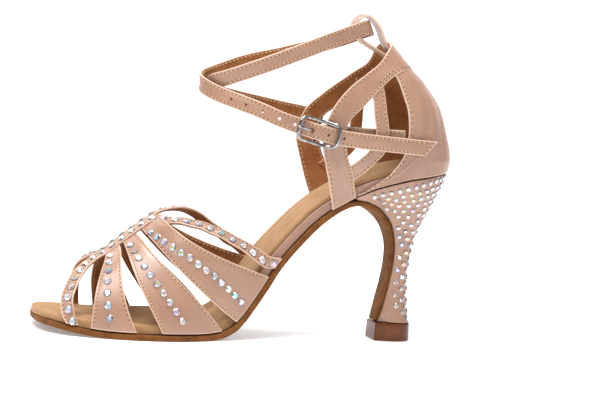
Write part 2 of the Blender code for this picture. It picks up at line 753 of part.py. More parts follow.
def table_value(rows, at, column):
    """Value of a table at a place in its first column, whichever way that column runs."""
    table = np.array(rows, float)
    table = table[np.argsort(table[:, 0])]
    return float(np.interp(at, table[:, 0], table[:, column]))


def bend_through(values, at):
    """Value at one of the shares between FAN_LEVELS on the smooth curve through four values."""
    total = 0.0
    for k, value in enumerate(values):
        weight = 1.0
        for j, level in enumerate(FAN_LEVELS):
            if j != k:
                weight *= (at - level) / (FAN_LEVELS[k] - level)
        total += weight * value
    return total


def form_point(edge, along):
    """A point of the vamp, from the medial foot (-1) over the ridge (0) to the lateral foot (1)."""
    foot = foot_point(edge[0] * SOLE_RUN, along > 0)
    ridge_height = table_value(RIDGE_ROWS, edge[3], 1) * RIDGE_HEIGHT
    angle = (1.0 - abs(along)) * math.pi / 2
    rise = math.sin(angle)
    forward = bend_through(edge, rise) * SOLE_RUN
    wall = foot_point(forward, along > 0)[1]
    side = wall * math.cos(angle) + RIDGE_SIDE * (1.0 - math.cos(angle))
    return np.array([forward, side, foot[2] + (ridge_height - foot[2]) * rise])


def edge_between(front, back, share):
    return np.array(front) + (np.array(back) - np.array(front)) * share


def fan_sheet(lateral_row, medial_row):
    grid = []
    for along in np.linspace(-1.0, 1.0, 19):
        row = lateral_row if along > 0 else medial_row
        shares = np.linspace(0.0, 1.0, 5)
        grid.append([form_point(edge_between(row[:4], row[4:], share), along) for share in shares])
    return sheet(grid, WALL)


def ridge_place(forward, side):
    """Point and normal of the vamp's form close to its centre line."""
    reach = WALL
    sides = []
    for x, y in ((forward, side), (forward + reach, side), (forward, side + reach)):
        height = table_value(RIDGE_ROWS, x / SOLE_RUN, 1) * RIDGE_HEIGHT
        across = (y - RIDGE_SIDE) / (BALL_WIDTH / 2)
        sides.append(np.array([x, y, height * math.sqrt(1.0 - across**2)]))
    normal = unit(np.cross(sides[1] - sides[0], sides[2] - sides[0]))
    return sides[0], normal


def edge_strap_rows(lateral):
    """Points and outward normals of one edge strap's middle line."""
    sign = 1.0 if lateral else -1.0
    rows = []
    for row in EDGE_ROWS:
        share, side, height = row[:3] if lateral else row[3:]
        forward = share * SOLE_RUN
        if side == "foot":
            normal = np.array([0.0, sign, 0.0])
            point = foot_point(forward, lateral) + normal * EDGE_STRAP_LIFT
        elif side == "ridge":
            point, normal = ridge_place(forward, RIDGE_SIDE + sign * EDGE_STRAP_SPACING)
            point = point + normal * EDGE_STRAP_LIFT
        else:
            point = np.array([forward, RIDGE_SIDE + sign * side * BALL_WIDTH, height * RIDGE_HEIGHT])
            low = sole_at(forward)[0]
            lean = np.interp(share, [0.4, 0.65, 0.83, 0.93], [0.0, 0.25, 0.75, 0.55])
            radial = np.array([0.0, point[1] - RIDGE_SIDE, 0.6 * (point[2] - low)])
            normal = unit(radial + np.array([lean * np.linalg.norm(radial), 0.0, 0.0]))
        rows.append(np.concatenate([point, normal * STEER]))
    return rows


def edge_strap_sheet(lateral):
    """Narrow strap along its middle line, square to the sole at both of its feet."""
    line = spline(edge_strap_rows(lateral), 56)
    points, normal = line[:, :3], unit(line[:, 3:])
    across = unit(np.cross(normal, tangents_of(points)))
    ends = len(points) - 1
    grid = []
    for k, (point, direction) in enumerate(zip(points, across)):
        x = point[0]
        rise = sole_at(x + WALL / 2)[0] - sole_at(x - WALL / 2)[0]
        along_sole = np.array([WALL, 0.0, rise])
        along_sole = unit(along_sole) * (1.0 if along_sole @ direction > 0 else -1.0)
        near_end = np.clip(1.0 - min(k, ends - k) / SQUARE_STEPS, 0.0, 1.0)
        direction = unit(direction + (along_sole - direction) * near_end)
        grid.append([point + direction * EDGE_STRAP_WIDTH * share for share in (-0.5, 0.0, 0.5)])
    return sheet(grid, WALL)


def make_vamp():
    """Fan straps joined under the two edge straps that run beside each other along the ridge."""
    fans = [fan_sheet(*rows) for rows in zip(LATERAL_FANS, MEDIAL_FANS)]
    vamp = add_object("vamp", fans[0], SATIN)
    for side, lateral in (("lateral", True), ("medial", False)):
        strap = add_object(f"guide_edge_strap_{side}", edge_strap_sheet(lateral), SATIN)
        add_boolean(vamp, strap, "UNION")
    for number, bm in enumerate(fans[1:], start=2):
        add_boolean(vamp, add_object(f"guide_fan_{number}", bm, SATIN), "UNION")
    return vamp


# Quarter


def quarter_form(height):
    """Back, greatest half width, half width at FORM_FRONT and round depth at one height."""
    share = height / COLLAR_HEIGHT
    back, half, front, depth = (table_value(QUARTER_ROWS, share, k) for k in (1, 2, 3, 4))
    return -back * SEAT_BACK, half * SEAT_WIDTH, front * SEAT_WIDTH, depth * SEAT_WIDTH


def quarter_side(x, z, lateral):
    """How far out the quarter's wall stands at a place in side view."""
    back, half, front, depth = quarter_form(z)
    if x < back + depth:
        side = half * math.sin(math.acos(np.clip(1.0 - (x - back) / depth, 0.0, 1.0)))
    else:
        side = half + (front - half) * (x - back - depth) / (FORM_FRONT - back - depth)
    sole, wide, narrow = sole_at(x)
    low = np.clip(1.0 - (z - sole) / FORM_MERGE, 0.0, 1.0) ** 1.6
    ahead = np.clip(x / FORM_FRONT * 3, 0.0, 1.0)
    edge = (wide if lateral else narrow) + WALL_OFFSET
    return side + (edge - side) * low * ahead


def counter_level(row, steps):
    """One level of the heel counter, from its medial front edge round the back to the lateral."""
    rise, forward, height = row
    seat_back = seat_point(SEAT_ROWS[-1])[1] + COUNTER_CLEARANCE
    back_z = seat_back + rise * (COUNTER_HEIGHT - seat_back)
    front_x, front_z = forward * SOLE_RUN, height * COUNTER_HEIGHT
    back_x = quarter_form(back_z)[0]
    first_x = COUNTER_ROWS[0][1] * SOLE_RUN
    first_z = sole_at(first_x)[0] + COUNTER_CLEARANCE
    front_z += (first_z - COUNTER_ROWS[0][2] * COUNTER_HEIGHT) * (1.0 - rise) ** 3
    round_depth = min(quarter_form(back_z)[3], 0.92 * (front_x - back_x))
    sides = {True: [], False: []}
    for t in np.linspace(0.0, 1.0, steps):
        bend = min(t / 0.6, 1.0) * math.pi / 2
        reach = round_depth * (1.0 - math.cos(bend))
        if t > 0.6:
            reach += (front_x - back_x - round_depth) * (t - 0.6) / 0.4
        x = back_x + reach
        z = back_z + (front_z - back_z) * reach / (front_x - back_x)
        chord = seat_back + (first_z - seat_back) * (x - back_x) / (first_x - back_x)
        bow = sole_at(x)[0] + COUNTER_CLEARANCE - chord
        z += bow * (1.0 - rise) ** 3
        x += (quarter_form(z)[0] - back_x) * (1.0 - reach / (front_x - back_x))
        for lateral in (True, False):
            sides[lateral].append((x, quarter_side(x, z, lateral) * (1 if lateral else -1), z))
    back = sides[True][0]
    sides[True][0] = (back[0], 0.0, back[2])
    return sides[False][:0:-1] + sides[True]


def counter_sheet():
    levels = spline(COUNTER_ROWS, 12)
    grid = np.array([counter_level(row, 13) for row in levels])
    return sheet(grid[:, ::-1], WALL)


def lifted(x, z, sign, lift):
    return x, sign * (quarter_side(x, z, sign > 0) + lift), z


def collar_edges():
    """Front and rear edge of the collar band, from the medial foot round to the lateral foot."""
    tops = []
    for share in COLLAR_TOP:
        z = share * COLLAR_HEIGHT
        tops.append((quarter_form(z)[0] - COLLAR_LIFT, 0.0, z))
    edges = {}
    for sign in (-1.0, 1.0):
        front, rear = [], []
        for row in COLLAR_ROWS:
            back = row[4] * COLLAR_WIDTH if sign < 0 else 0.0
            for edge, forward, height in ((front, row[0], row[1]), (rear, row[2], row[3])):
                edge.append(lifted(forward * SOLE_RUN - back, height * COLLAR_HEIGHT, sign, COLLAR_LIFT))
        for edge, share in ((front, COLLAR_FOOT[0]), (rear, COLLAR_FOOT[1])):
            edge.append(tuple(foot_point(share * SOLE_RUN, sign > 0)))
        edges[sign] = (front, rear)
    joined = []
    for which in (0, 1):
        joined.append(edges[-1.0][which][::-1] + [tops[which]] + edges[1.0][which])
    return joined


def band_grid(front, rear, count, across):
    """Surface points of a band between two edges."""
    pairs = spline(np.hstack([front, rear]), count)
    front, rear = pairs[:, :3], pairs[:, 3:]
    shares = np.linspace(0.0, 1.0, across)
    return np.stack([front + (rear - front) * share for share in shares], axis=1)


def laid_on_form(grid, lift):
    """A band's points brought on to the quarter's form, except near the middle of the back."""
    laid = np.array(grid)
    for point in laid.reshape(-1, 3):
        sign = 1.0 if point[1] > 0 else -1.0
        target = sign * (quarter_side(point[0], point[2], sign > 0) + lift)
        trust = np.clip((abs(point[1]) / SEAT_WIDTH - BACK_FREE) / BACK_BLEND, 0.0, 1.0)
        point[1] += (target - point[1]) * trust
        point[2] = max(point[2], sole_at(point[0])[0] + FOOT_CLEARANCE)
    return laid


def crescent_sheet(sign):
    front, rear = [], []
    for row in CRESCENT_ROWS:
        back = row[4] * COLLAR_WIDTH if sign < 0 else 0.0
        for edge, forward, height in ((front, row[0], row[1]), (rear, row[2], row[3])):
            edge.append(lifted(forward * SOLE_RUN - back, height * COLLAR_HEIGHT, sign, 0.0))
    return sheet(laid_on_form(band_grid(front, rear, 14, 3), 0.0), WALL)


def make_quarter():
    """Heel counter, collar band and crescent straps as one sewn upper."""
    quarter = add_object("quarter", counter_sheet(), SATIN)
    band = laid_on_form(band_grid(*collar_edges(), 59, 3), COLLAR_LIFT)
    collar = add_object("guide_collar", sheet(band, WALL), SATIN)
    add_boolean(quarter, collar, "UNION")
    for side, sign in (("lateral", 1.0), ("medial", -1.0)):
        add_boolean(quarter, add_object(f"guide_crescent_{side}", crescent_sheet(sign), SATIN), "UNION")
    return quarter


# Ankle strap


def route(count):
    rows = [
        (forward * SOLE_RUN, side * COLLAR_WIDTH, height * COLLAR_HEIGHT, math.radians(lean) * STEER)
        for forward, side, height, lean in ROUTE_ROWS
    ]
    points = spline(rows, count)
    return points[:, :3], points[:, 3] / STEER


def strap_frames(line, lean):
    """Direction, width direction and outward normal along the ankle strap."""
    tangent = tangents_of(line)
    up = np.stack([np.sin(lean), np.zeros(len(line)), np.cos(lean)], axis=1)
    up = unit(up - tangent * np.sum(up * tangent, axis=1, keepdims=True))
    return tangent, up, np.cross(tangent, up)


def buckle_frame_axes():
    """Centre, direction towards the front, width direction and outward normal at the buckle."""
    line, lean = route(600)
    tangent, up, normal = strap_frames(line, lean)
    near = [k for k in range(300, 600) if line[k, 0] >= BUCKLE_STATION * SOLE_RUN]
    k = near[-1]
    out = normal[k] if normal[k][1] > 0 else -normal[k]
    return line[k], -tangent[k], up[k], out, k


def make_ankle_strap():
    line, lean = route(100)
    tangent, up, normal = strap_frames(line, lean)
    rings = []
    last = len(line) - 1
    for k in range(len(line)):
        half_up, half_out = up[k] * STRAP_WIDTH / 2, normal[k] * STRAP_THICKNESS / 2
        slant = tangent[k] * STRAP_WIDTH * TAIL_CUT / 2 if k == last else np.zeros(3)
        top, bottom = line[k] + half_up + slant, line[k] - half_up - slant
        rings.append((top + half_out, bottom + half_out, bottom - half_out, top - half_out))
    strap = add_object("ankle_strap", loft(rings), SATIN)
    fine, fine_lean = route(600)
    fine_tangent, fine_up, fine_normal = strap_frames(fine, fine_lean)
    step = float(np.linalg.norm(np.diff(fine, axis=0), axis=1).mean())
    prong = buckle_frame_axes()[4] - round(PRONG_ROWS[0][0] * (BUCKLE_LENGTH - BUCKLE_WIRE) / 2 / step)
    drills = bmesh.new()
    for hole in range(-HOLES_BEHIND, HOLES_IN_FRONT + 1):
        k = prong - round(hole * HOLE_PITCH / step)
        centre, axis = Vector(fine[k]), Vector(fine_normal[k])
        turn = axis.to_track_quat("Z", "Y").to_matrix().to_4x4()
        turn.translation = centre
        radius = PRONG_HOLE_RADIUS if hole == 0 else HOLE_RADIUS
        bmesh.ops.create_cone(
            drills, cap_ends=True, segments=8, radius1=radius, radius2=radius,
            depth=4 * STRAP_THICKNESS, matrix=turn,
        )
    add_boolean(strap, add_object("guide_holes", drills, SATIN), "DIFFERENCE")
    return strap


def wire_rings(path, radius, sides, closed_guide):
    """Rings of a round wire along a path; closed_guide is a direction across the path."""
    tangent = tangents_of(path)
    first = unit(closed_guide - tangent * np.sum(closed_guide * tangent, axis=1, keepdims=True))
    second = np.cross(tangent, first)
    rings = []
    for k in range(len(path)):
        ring = []
        for i in range(sides):
            angle = 2 * math.pi * i / sides
            offset = first[k] * math.cos(angle) + second[k] * math.sin(angle)
            ring.append(path[k] + offset * radius)
        rings.append(ring)
    return rings


def closed_wire(path, radius, sides, guide):
    """A ring of round wire whose path starts and ends at the same place."""
    size = len(path)
    wrapped = np.concatenate([path[-1:], path, path[:1]])
    tangent = unit(wrapped[2:] - wrapped[:-2])
    first = unit(guide - tangent * np.sum(guide * tangent, axis=1, keepdims=True))
    second = np.cross(tangent, first)
    bm = bmesh.new()
    angles = [2 * math.pi * i / sides for i in range(sides)]
    loops = []
    for k in range(size):
        spokes = [first[k] * math.cos(angle) + second[k] * math.sin(angle) for angle in angles]
        loops.append([bm.verts.new(path[k] + spoke * radius) for spoke in spokes])
    for k in range(size):
        one, two = loops[k], loops[(k + 1) % size]
        for i in range(sides):
            j = (i + 1) % sides
            bm.faces.new((one[i], one[j], two[j], two[i]))
    return bm


def make_buckle():
    """Cambered nickel frame whose end bars lie over the strap and whose centre bar lies under it."""
    centre, ahead, up, out, _ = buckle_frame_axes()
    half_length = (BUCKLE_LENGTH - BUCKLE_WIRE) / 2
    half_height = (BUCKLE_HEIGHT - BUCKLE_WIRE) / 2
    end_lift = (STRAP_THICKNESS + BUCKLE_WIRE) / 2 + END_BAR_GAP
    side_lift = -0.45 * BAR_DEPTH
    path = []
    for cx, cy, start in ((1, 1, 0), (-1, 1, 90), (-1, -1, 180), (1, -1, 270)):
        for i in range(7):
            angle = math.radians(start + 15 * i)
            t = cx * (half_length - BUCKLE_CORNER) + BUCKLE_CORNER * math.cos(angle)
            w = cy * (half_height - BUCKLE_CORNER) + BUCKLE_CORNER * math.sin(angle)
            path.append((t, w))
        if cy == 1 and cx == 1 or cy == -1 and cx == -1:
            for share in (0.6, 0.2, -0.2, -0.6):
                path.append((cx * share * (half_length - BUCKLE_CORNER), cy * half_height))
    points = []
    for t, w in path:
        lift = side_lift + (end_lift - side_lift) * (t / half_length) ** 2
        points.append(centre + ahead * t + up * w + out * lift)
    guide = np.tile(out, (len(points), 1))
    frame = add_object("buckle_frame", closed_wire(np.array(points), BUCKLE_WIRE / 2, 8, guide), NICKEL)
    bar = np.array([
        centre + up * w * half_height - out * depth * BAR_DEPTH for w, depth in BAR_ROWS
    ])
    rings = wire_rings(bar, BAR_RADIUS, 8, np.tile(ahead, (len(bar), 1)))
    add_boolean(frame, add_object("guide_centre_bar", loft(rings), NICKEL), "UNION")
    return frame


def make_prong():
    """Prong that turns on the centre bar, passes the strap's hole and rests on the front bar."""
    centre, ahead, up, out, _ = buckle_frame_axes()
    eye = BAR_RADIUS + CLEARANCE + PRONG_WIRE / 2
    bar = centre - out * BAR_DEPTH
    end_lift = (STRAP_THICKNESS + BUCKLE_WIRE) / 2 + END_BAR_GAP
    rest = end_lift + BUCKLE_WIRE / 2 + CLEARANCE + PRONG_WIRE / 2
    reach = (BUCKLE_LENGTH - BUCKLE_WIRE) / 2
    path = []
    for degrees in range(300, 30, -30):
        angle = math.radians(degrees)
        path.append(bar + ahead * eye * math.cos(angle) + out * eye * math.sin(angle))
    path.append(centre + ahead * PRONG_ROWS[0][0] * reach - out * 0.38 * BAR_DEPTH)
    for t, lift in PRONG_ROWS:
        path.append(centre + ahead * t * reach + out * lift * rest)
    path = spline(np.array(path), 26)
    rings = wire_rings(path, PRONG_WIRE / 2, 8, np.tile(up, (len(path), 1)))
    return add_object("buckle_prong", loft(rings), NICKEL)


def make_tab():
    """Short strap from the counter to the buckle, hooked round the centre bar."""
    centre, ahead, up, out, _ = buckle_frame_axes()
    bar = centre - out * BAR_DEPTH
    turn = BAR_RADIUS + CLEARANCE + TAB_THICKNESS / 2
    rows = [
        (forward * SOLE_RUN, side * COLLAR_WIDTH, height * COLLAR_HEIGHT)
        for forward, side, height in TAB_ROWS
    ]
    for degrees in (250, 300, 350, 40, 90, 140):
        angle = math.radians(degrees)
        rows.append(tuple(bar + ahead * turn * math.cos(angle) + out * turn * math.sin(angle)))
    line = spline(rows, 46)
    tangent = tangents_of(line)
    width = np.tile(up, (len(line), 1))
    width = unit(width - tangent * np.sum(width * tangent, axis=1, keepdims=True))
    half = STRAP_WIDTH / 2
    grid = np.stack([line - width * half, line + width * half], axis=1)
    tab = add_object("buckle_tab", sheet(grid, TAB_THICKNESS), SATIN)
    slot = bmesh.new()
    bmesh.ops.create_cube(slot, size=1.0)
    size = (3 * BAR_DEPTH, PRONG_WIRE + 4 * CLEARANCE, 3 * BAR_DEPTH)
    middle = bar + ahead * SLOT_FORWARD
    for vert in slot.verts:
        t, w, n = (share * length for share, length in zip(vert.co, size))
        vert.co = Vector(middle + ahead * t + up * w + out * n)
    add_boolean(tab, add_object("guide_prong_slot", slot, SATIN), "DIFFERENCE")
    return tab


def make_loop():
    """Loop at the back of the collar that the ankle strap passes through."""
    rows = [(forward * SOLE_RUN, 0.0, height * COLLAR_HEIGHT) for forward, height in LOOP_ROWS]
    line = spline(rows, 44)
    half = np.array([0.0, LOOP_WIDTH / 2, 0.0])
    grid = np.stack([line - half, line + half], axis=1)
    return add_object("back_loop", sheet(grid, LOOP_THICKNESS), SATIN)


def main():
    clear_scene()
    make_outsole()
    make_board()
    make_sock()
    make_heel()
    make_tip()
    make_vamp()
    make_quarter()
    make_ankle_strap()
    make_tab()
    make_buckle()
    make_prong()
    make_loop()


main()
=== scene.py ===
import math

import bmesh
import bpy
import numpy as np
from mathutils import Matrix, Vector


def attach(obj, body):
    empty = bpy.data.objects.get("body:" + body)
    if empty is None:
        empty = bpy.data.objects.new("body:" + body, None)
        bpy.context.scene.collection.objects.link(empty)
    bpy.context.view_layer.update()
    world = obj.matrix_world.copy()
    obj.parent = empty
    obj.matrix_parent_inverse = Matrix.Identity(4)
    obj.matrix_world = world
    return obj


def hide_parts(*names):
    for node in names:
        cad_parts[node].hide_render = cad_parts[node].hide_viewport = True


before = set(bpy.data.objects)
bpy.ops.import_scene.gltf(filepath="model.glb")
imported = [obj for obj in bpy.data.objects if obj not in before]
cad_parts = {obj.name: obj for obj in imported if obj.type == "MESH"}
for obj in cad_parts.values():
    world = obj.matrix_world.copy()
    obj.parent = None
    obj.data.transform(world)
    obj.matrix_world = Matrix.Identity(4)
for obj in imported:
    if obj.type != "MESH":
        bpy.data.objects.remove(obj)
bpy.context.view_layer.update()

# %% [markdown]
# A Latin dance sandal, seen from its outer side
#
# The shoe is a left one with a flared heel. Its upper is made of narrow satin straps over brown
# suede, with stitched edges and cut-glass stones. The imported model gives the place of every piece.
# This lesson dresses each one: first the camera and the light, then the sole and heel, then the
# straps from the toe to the ankle, and at the end the small metal parts and the stones.

MM = 0.001

# %% [markdown]
# The camera stands on the outer side, swung a little towards the toe and a little above the floor.
# The picture is rolled by a few degrees. A long lens from more than a metre keeps the shoe's
# proportions. One pixel of the 600 pixel wide picture covers about half a millimetre at the shoe.

# %% Camera
PICTURE_WIDTH = 600
PIXEL = 0.505 * MM
VIEW_DISTANCE = 1150 * MM
VIEW_SWING = math.radians(15.0)
VIEW_RISE = math.radians(4.5)
VIEW_ROLL = math.radians(4.15)
AIM = Vector((52.5 * MM, 0.0, 69.1 * MM))
SENSOR_WIDTH = 36.0


def added(name, data):
    """A new object with this data, in the scene."""
    made = bpy.data.objects.new(name, data)
    bpy.context.scene.collection.objects.link(made)
    return made


def frame_at(place, *axes):
    """The matrix that takes the three axes of a shape to these vectors, and its origin here."""
    turn = Matrix([Vector(axis) for axis in axes]).transposed().to_4x4()
    turn.translation = Vector(place)
    return turn


def make_camera():
    """The camera of the picture, and the scene's own."""
    towards = Vector((
        math.sin(VIEW_SWING) * math.cos(VIEW_RISE),
        math.cos(VIEW_SWING) * math.cos(VIEW_RISE),
        math.sin(VIEW_RISE),
    ))
    level = Vector((-math.cos(VIEW_SWING), math.sin(VIEW_SWING), 0.0))
    upright = level.cross(towards) * -1.0
    right = level * math.cos(VIEW_ROLL) + upright * math.sin(VIEW_ROLL)
    up = upright * math.cos(VIEW_ROLL) - level * math.sin(VIEW_ROLL)
    data = bpy.data.cameras.new("camera")
    data.sensor_width = SENSOR_WIDTH
    data.lens = data.sensor_width * VIEW_DISTANCE / (PICTURE_WIDTH * PIXEL)
    camera = added("camera", data)
    camera.matrix_world = frame_at(AIM + towards * VIEW_DISTANCE, right, up, towards)
    bpy.context.scene.camera = camera
    return camera


print("lens in mm:", round(make_camera().data.lens, 1))

# %% [markdown]
# The shoe stands on a pale floor that curves up into a pale wall, like a paper sweep in a studio,
# so that no horizon shows. Four soft lights and a white world make the broad, calm highlights that
# satin needs. The plain view transform keeps the floor and the wall white.

# %% Floor and wall in one sweep
SWEEP_WIDTH = 6.0
SWEEP_FRONT = 2.0
SWEEP_BACK = -1.3
SWEEP_RADIUS = 0.8
SWEEP_HEIGHT = 2.6
SWEEP_STEPS = 16
FLOOR_GLOW = 0.28


def mesh_of(name, bm):
    """The mesh made from a bmesh, which is freed."""
    mesh = bpy.data.meshes.new(name)
    bm.to_mesh(mesh)
    bm.free()
    return mesh


def plain_material(name, colour, roughness):
    made = bpy.data.materials.new(name)
    made.use_nodes = True
    shader = made.node_tree.nodes["Principled BSDF"]
    shader.inputs["Base Color"].default_value = (*colour, 1.0)
    shader.inputs["Roughness"].default_value = roughness
    return made


def make_sweep():
    """One sheet extruded edge by edge: floor, quarter circle and wall."""
    bm = bmesh.new()
    edge = [bm.verts.new((side * SWEEP_WIDTH / 2, SWEEP_FRONT, 0.0)) for side in (-1, 1)]
    line = bm.edges.new(edge)
    steps = [Vector((0.0, SWEEP_BACK - SWEEP_FRONT, 0.0))]
    for k in range(SWEEP_STEPS):
        start, end = (math.pi / 2 * (k + part) / SWEEP_STEPS for part in (0, 1))
        steps.append(SWEEP_RADIUS * Vector((
            0.0, math.sin(start) - math.sin(end), math.cos(start) - math.cos(end))))
    steps.append(Vector((0.0, 0.0, SWEEP_HEIGHT - SWEEP_RADIUS)))
    for step in steps:
        made = bmesh.ops.extrude_edge_only(bm, edges=[line])["geom"]
        moved = [item for item in made if isinstance(item, bmesh.types.BMVert)]
        bmesh.ops.translate(bm, verts=moved, vec=step)
        line = [item for item in made if isinstance(item, bmesh.types.BMEdge)][0]
        if line.verts[0] not in moved or line.verts[1] not in moved:
            line = next(e for e in moved[0].link_edges if e.other_vert(moved[0]) in moved)
    bmesh.ops.recalc_face_normals(bm, faces=bm.faces)
    mesh = mesh_of("floor_sweep", bm)
    mesh.shade_smooth()
    sweep = added("floor_sweep", mesh)
    paper = plain_material("pale_floor", (0.94, 0.94, 0.95), 0.40)
    glow = paper.node_tree.nodes["Principled BSDF"]
    glow.inputs["Emission Color"].default_value = (1.0, 1.0, 1.0, 1.0)
    glow.inputs["Emission Strength"].default_value = FLOOR_GLOW
    mesh.materials.append(paper)
    return sweep


bpy.context.scene.view_settings.view_transform = "Standard"
make_sweep()

# %% Soft studio lights
LIGHTS = (
    # name, place, size, power in watts
    ("key_light", (0.75, 0.75, 1.30), 0.5, 13.0),
    ("fill_light", (-1.00, 1.00, 0.80), 1.0, 1.5),
    ("top_light", (0.12, 0.10, 1.50), 0.8, 28.0),
    ("back_light", (0.60, -1.00, 0.90), 0.9, 4.0),
)
WORLD_STRENGTH = 0.36


def make_lights():
    for name, place, size, power in LIGHTS:
        data = bpy.data.lights.new(name, "AREA")
        data.size = size
        data.energy = power
        light = added(name, data)
        light.location = place
        light.rotation_euler = (AIM - Vector(place)).to_track_quat("-Z", "Y").to_euler()
    world = bpy.data.worlds.new("white_room")
    world.use_nodes = True
    background = world.node_tree.nodes["Background"]
    background.inputs["Color"].default_value = (1.0, 1.0, 1.0, 1.0)
    background.inputs["Strength"].default_value = WORLD_STRENGTH
    bpy.context.scene.world = world


make_lights()

# %% [markdown]
# Curved pieces follow smooth lines through a few rows of a table. One helper gives points on such
# a line, one turns a rectangular grid of points into a mesh, and one finds a place on that grid
# again, so that stitches and stones can sit exactly on the surface.

# %% Smooth lines through a few rows
def smooth_line(rows, count):
    """Evenly spaced points on the curve through the rows; extra columns follow along."""
    rows = np.array(rows, float)
    steps = np.linalg.norm(np.diff(rows, axis=0), axis=1)
    along = np.concatenate([[0.0], np.cumsum(steps)])
    slopes = np.diff(rows, axis=0) / steps[:, None]
    before, after = steps[:-1, None], steps[1:, None]
    inner = (slopes[:-1] * after + slopes[1:] * before) / (before + after)
    tangents = np.concatenate([slopes[:1], inner, slopes[-1:]])
    at = np.linspace(0.0, along[-1], count)
    which = np.clip(np.searchsorted(along, at, side="right") - 1, 0, len(steps) - 1)
    span = steps[which, None]
    t = ((at - along[which]) / steps[which])[:, None]
    leave, arrive = tangents[which] * span, tangents[which + 1] * span
    return (
        (2 * t**3 - 3 * t**2 + 1) * rows[which]
        + (t**3 - 2 * t**2 + t) * leave
        + (3 * t**2 - 2 * t**3) * rows[which + 1]
        + (t**3 - t**2) * arrive
    )


def unit(vectors):
    return vectors / np.linalg.norm(vectors, axis=-1, keepdims=True)


def tangents_of(points):
    return unit(np.gradient(points, axis=0))


# %% Surfaces as grids of points
class Surface:
    """A grid of points with outward normals, its rows along a piece and its columns across."""

    def __init__(self, points, inside):
        self.points = np.asarray(points, float)
        normals = np.cross(np.gradient(self.points, axis=0), np.gradient(self.points, axis=1))
        normals = normals / np.maximum(np.linalg.norm(normals, axis=-1, keepdims=True), 1e-12)
        outward = np.sum(normals * (self.points - np.asarray(inside)), axis=-1)
        self.normals = normals * (1.0 if np.mean(outward) > 0 else -1.0)
        steps = np.linalg.norm(np.diff(self.points, axis=0), axis=2).mean(axis=1)
        self.along = np.concatenate([[0.0], np.cumsum(steps)])
        reach = np.linalg.norm(np.diff(self.points, axis=1), axis=2)
        first = np.zeros((len(self.points), 1))
        self.across = np.concatenate([first, np.cumsum(reach, axis=1)], axis=1)
        self.width = self.across[:, -1]
        self.length = self.along[-1]

    def lifted(self, distance):
        """The surface moved along its normals; its lengths and normals stay."""
        made = Surface.__new__(Surface)
        made.__dict__.update(self.__dict__)
        made.points = self.points + self.normals * np.asarray(distance)[..., None]
        return made

    def facing(self, directions, rows=slice(None)):
        """The same surface, with its normals turned over if they point against the directions."""
        if np.sum(self.normals[rows] * directions) < 0:
            self.normals = -self.normals
        return self

    def place(self, along, across):
        """Point, normal and direction at a length along and a length across, from edge 0."""
        rows, columns = self.points.shape[:2]
        i = float(np.clip(np.interp(along, self.along, np.arange(rows)), 0, rows - 1.001))
        low = int(i)
        reach = (1 - (i - low)) * self.across[low] + (i - low) * self.across[low + 1]
        j = float(np.clip(np.interp(across, reach, np.arange(columns)), 0, columns - 1.001))
        left = int(j)
        s, t = i - low, j - left

        def mix(grid):
            upper = grid[low, left] * (1 - t) + grid[low, left + 1] * t
            lower = grid[low + 1, left] * (1 - t) + grid[low + 1, left + 1] * t
            return upper * (1 - s) + lower * s

        ahead = unit(mix(np.roll(self.points, -1, axis=0)) - mix(self.points)) if low + 2 < rows \
            else unit(self.points[-1, left] - self.points[-2, left])
        return mix(self.points), unit(mix(self.normals)), ahead


# %% Meshes from surfaces
SMOOTH_ANGLE = math.radians(38)


def finish_object(name, bm, finish):
    """The piece's object with its finish: it rides on the shoe's one body."""
    mesh = mesh_of(name, bm)
    mesh.shade_smooth()
    mesh.materials.append(finish)
    piece = added(name, mesh)
    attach(piece, "root")
    return piece


def grid_mesh(surface):
    """A bmesh grid laid on a surface, with lengths in millimetres as its UV map."""
    rows, columns = surface.points.shape[:2]
    bm = bmesh.new()
    bmesh.ops.create_grid(bm, x_segments=rows - 1, y_segments=columns - 1, size=0.5)
    rim = bm.verts.layers.float.new("rim")
    lengths = {}
    for vert in bm.verts:
        i = round((vert.co.x + 0.5) * (rows - 1))
        j = round((vert.co.y + 0.5) * (columns - 1))
        across, width = surface.across[i, j], surface.width[i]
        end = min(surface.along[i], surface.length - surface.along[i])
        vert[rim] = min(across, width - across, max(end, 0.0)) / MM
        vert.co = surface.points[i, j]
        lengths[vert] = (surface.along[i] / MM, (across - width / 2) / MM)
    chart = bm.loops.layers.uv.new("UVMap")
    for face in bm.faces:
        for loop in face.loops:
            loop[chart].uv = lengths[loop.vert]
    bm.normal_update()
    face = bm.faces[:][len(bm.faces) // 2]
    middle = face.calc_center_median()
    flat = surface.points.reshape(-1, 3)
    nearest = int(np.argmin(np.linalg.norm(flat - np.array(middle), axis=1)))
    if Vector(surface.normals.reshape(-1, 3)[nearest]).dot(face.normal) < 0:
        bmesh.ops.reverse_faces(bm, faces=bm.faces)
    return bm


def round_edges(piece, width, degrees):
    """Rounds every edge of a piece that turns by more than this angle."""
    edge = piece.modifiers.new("rounded_edge", "BEVEL")
    edge.width = width
    edge.segments = 2
    edge.limit_method = "ANGLE"
    edge.angle_limit = math.radians(degrees)
    return piece


def cloth_piece(name, surface, thickness, finish, rounding=0.35 * MM):
    """A strap or panel: the surface is its outer face, and its wall goes inwards from there."""
    piece = finish_object(name, grid_mesh(surface), finish)
    wall = piece.modifiers.new("wall", "SOLIDIFY")
    wall.thickness = thickness
    wall.offset = -1.0
    return round_edges(piece, rounding, 55)
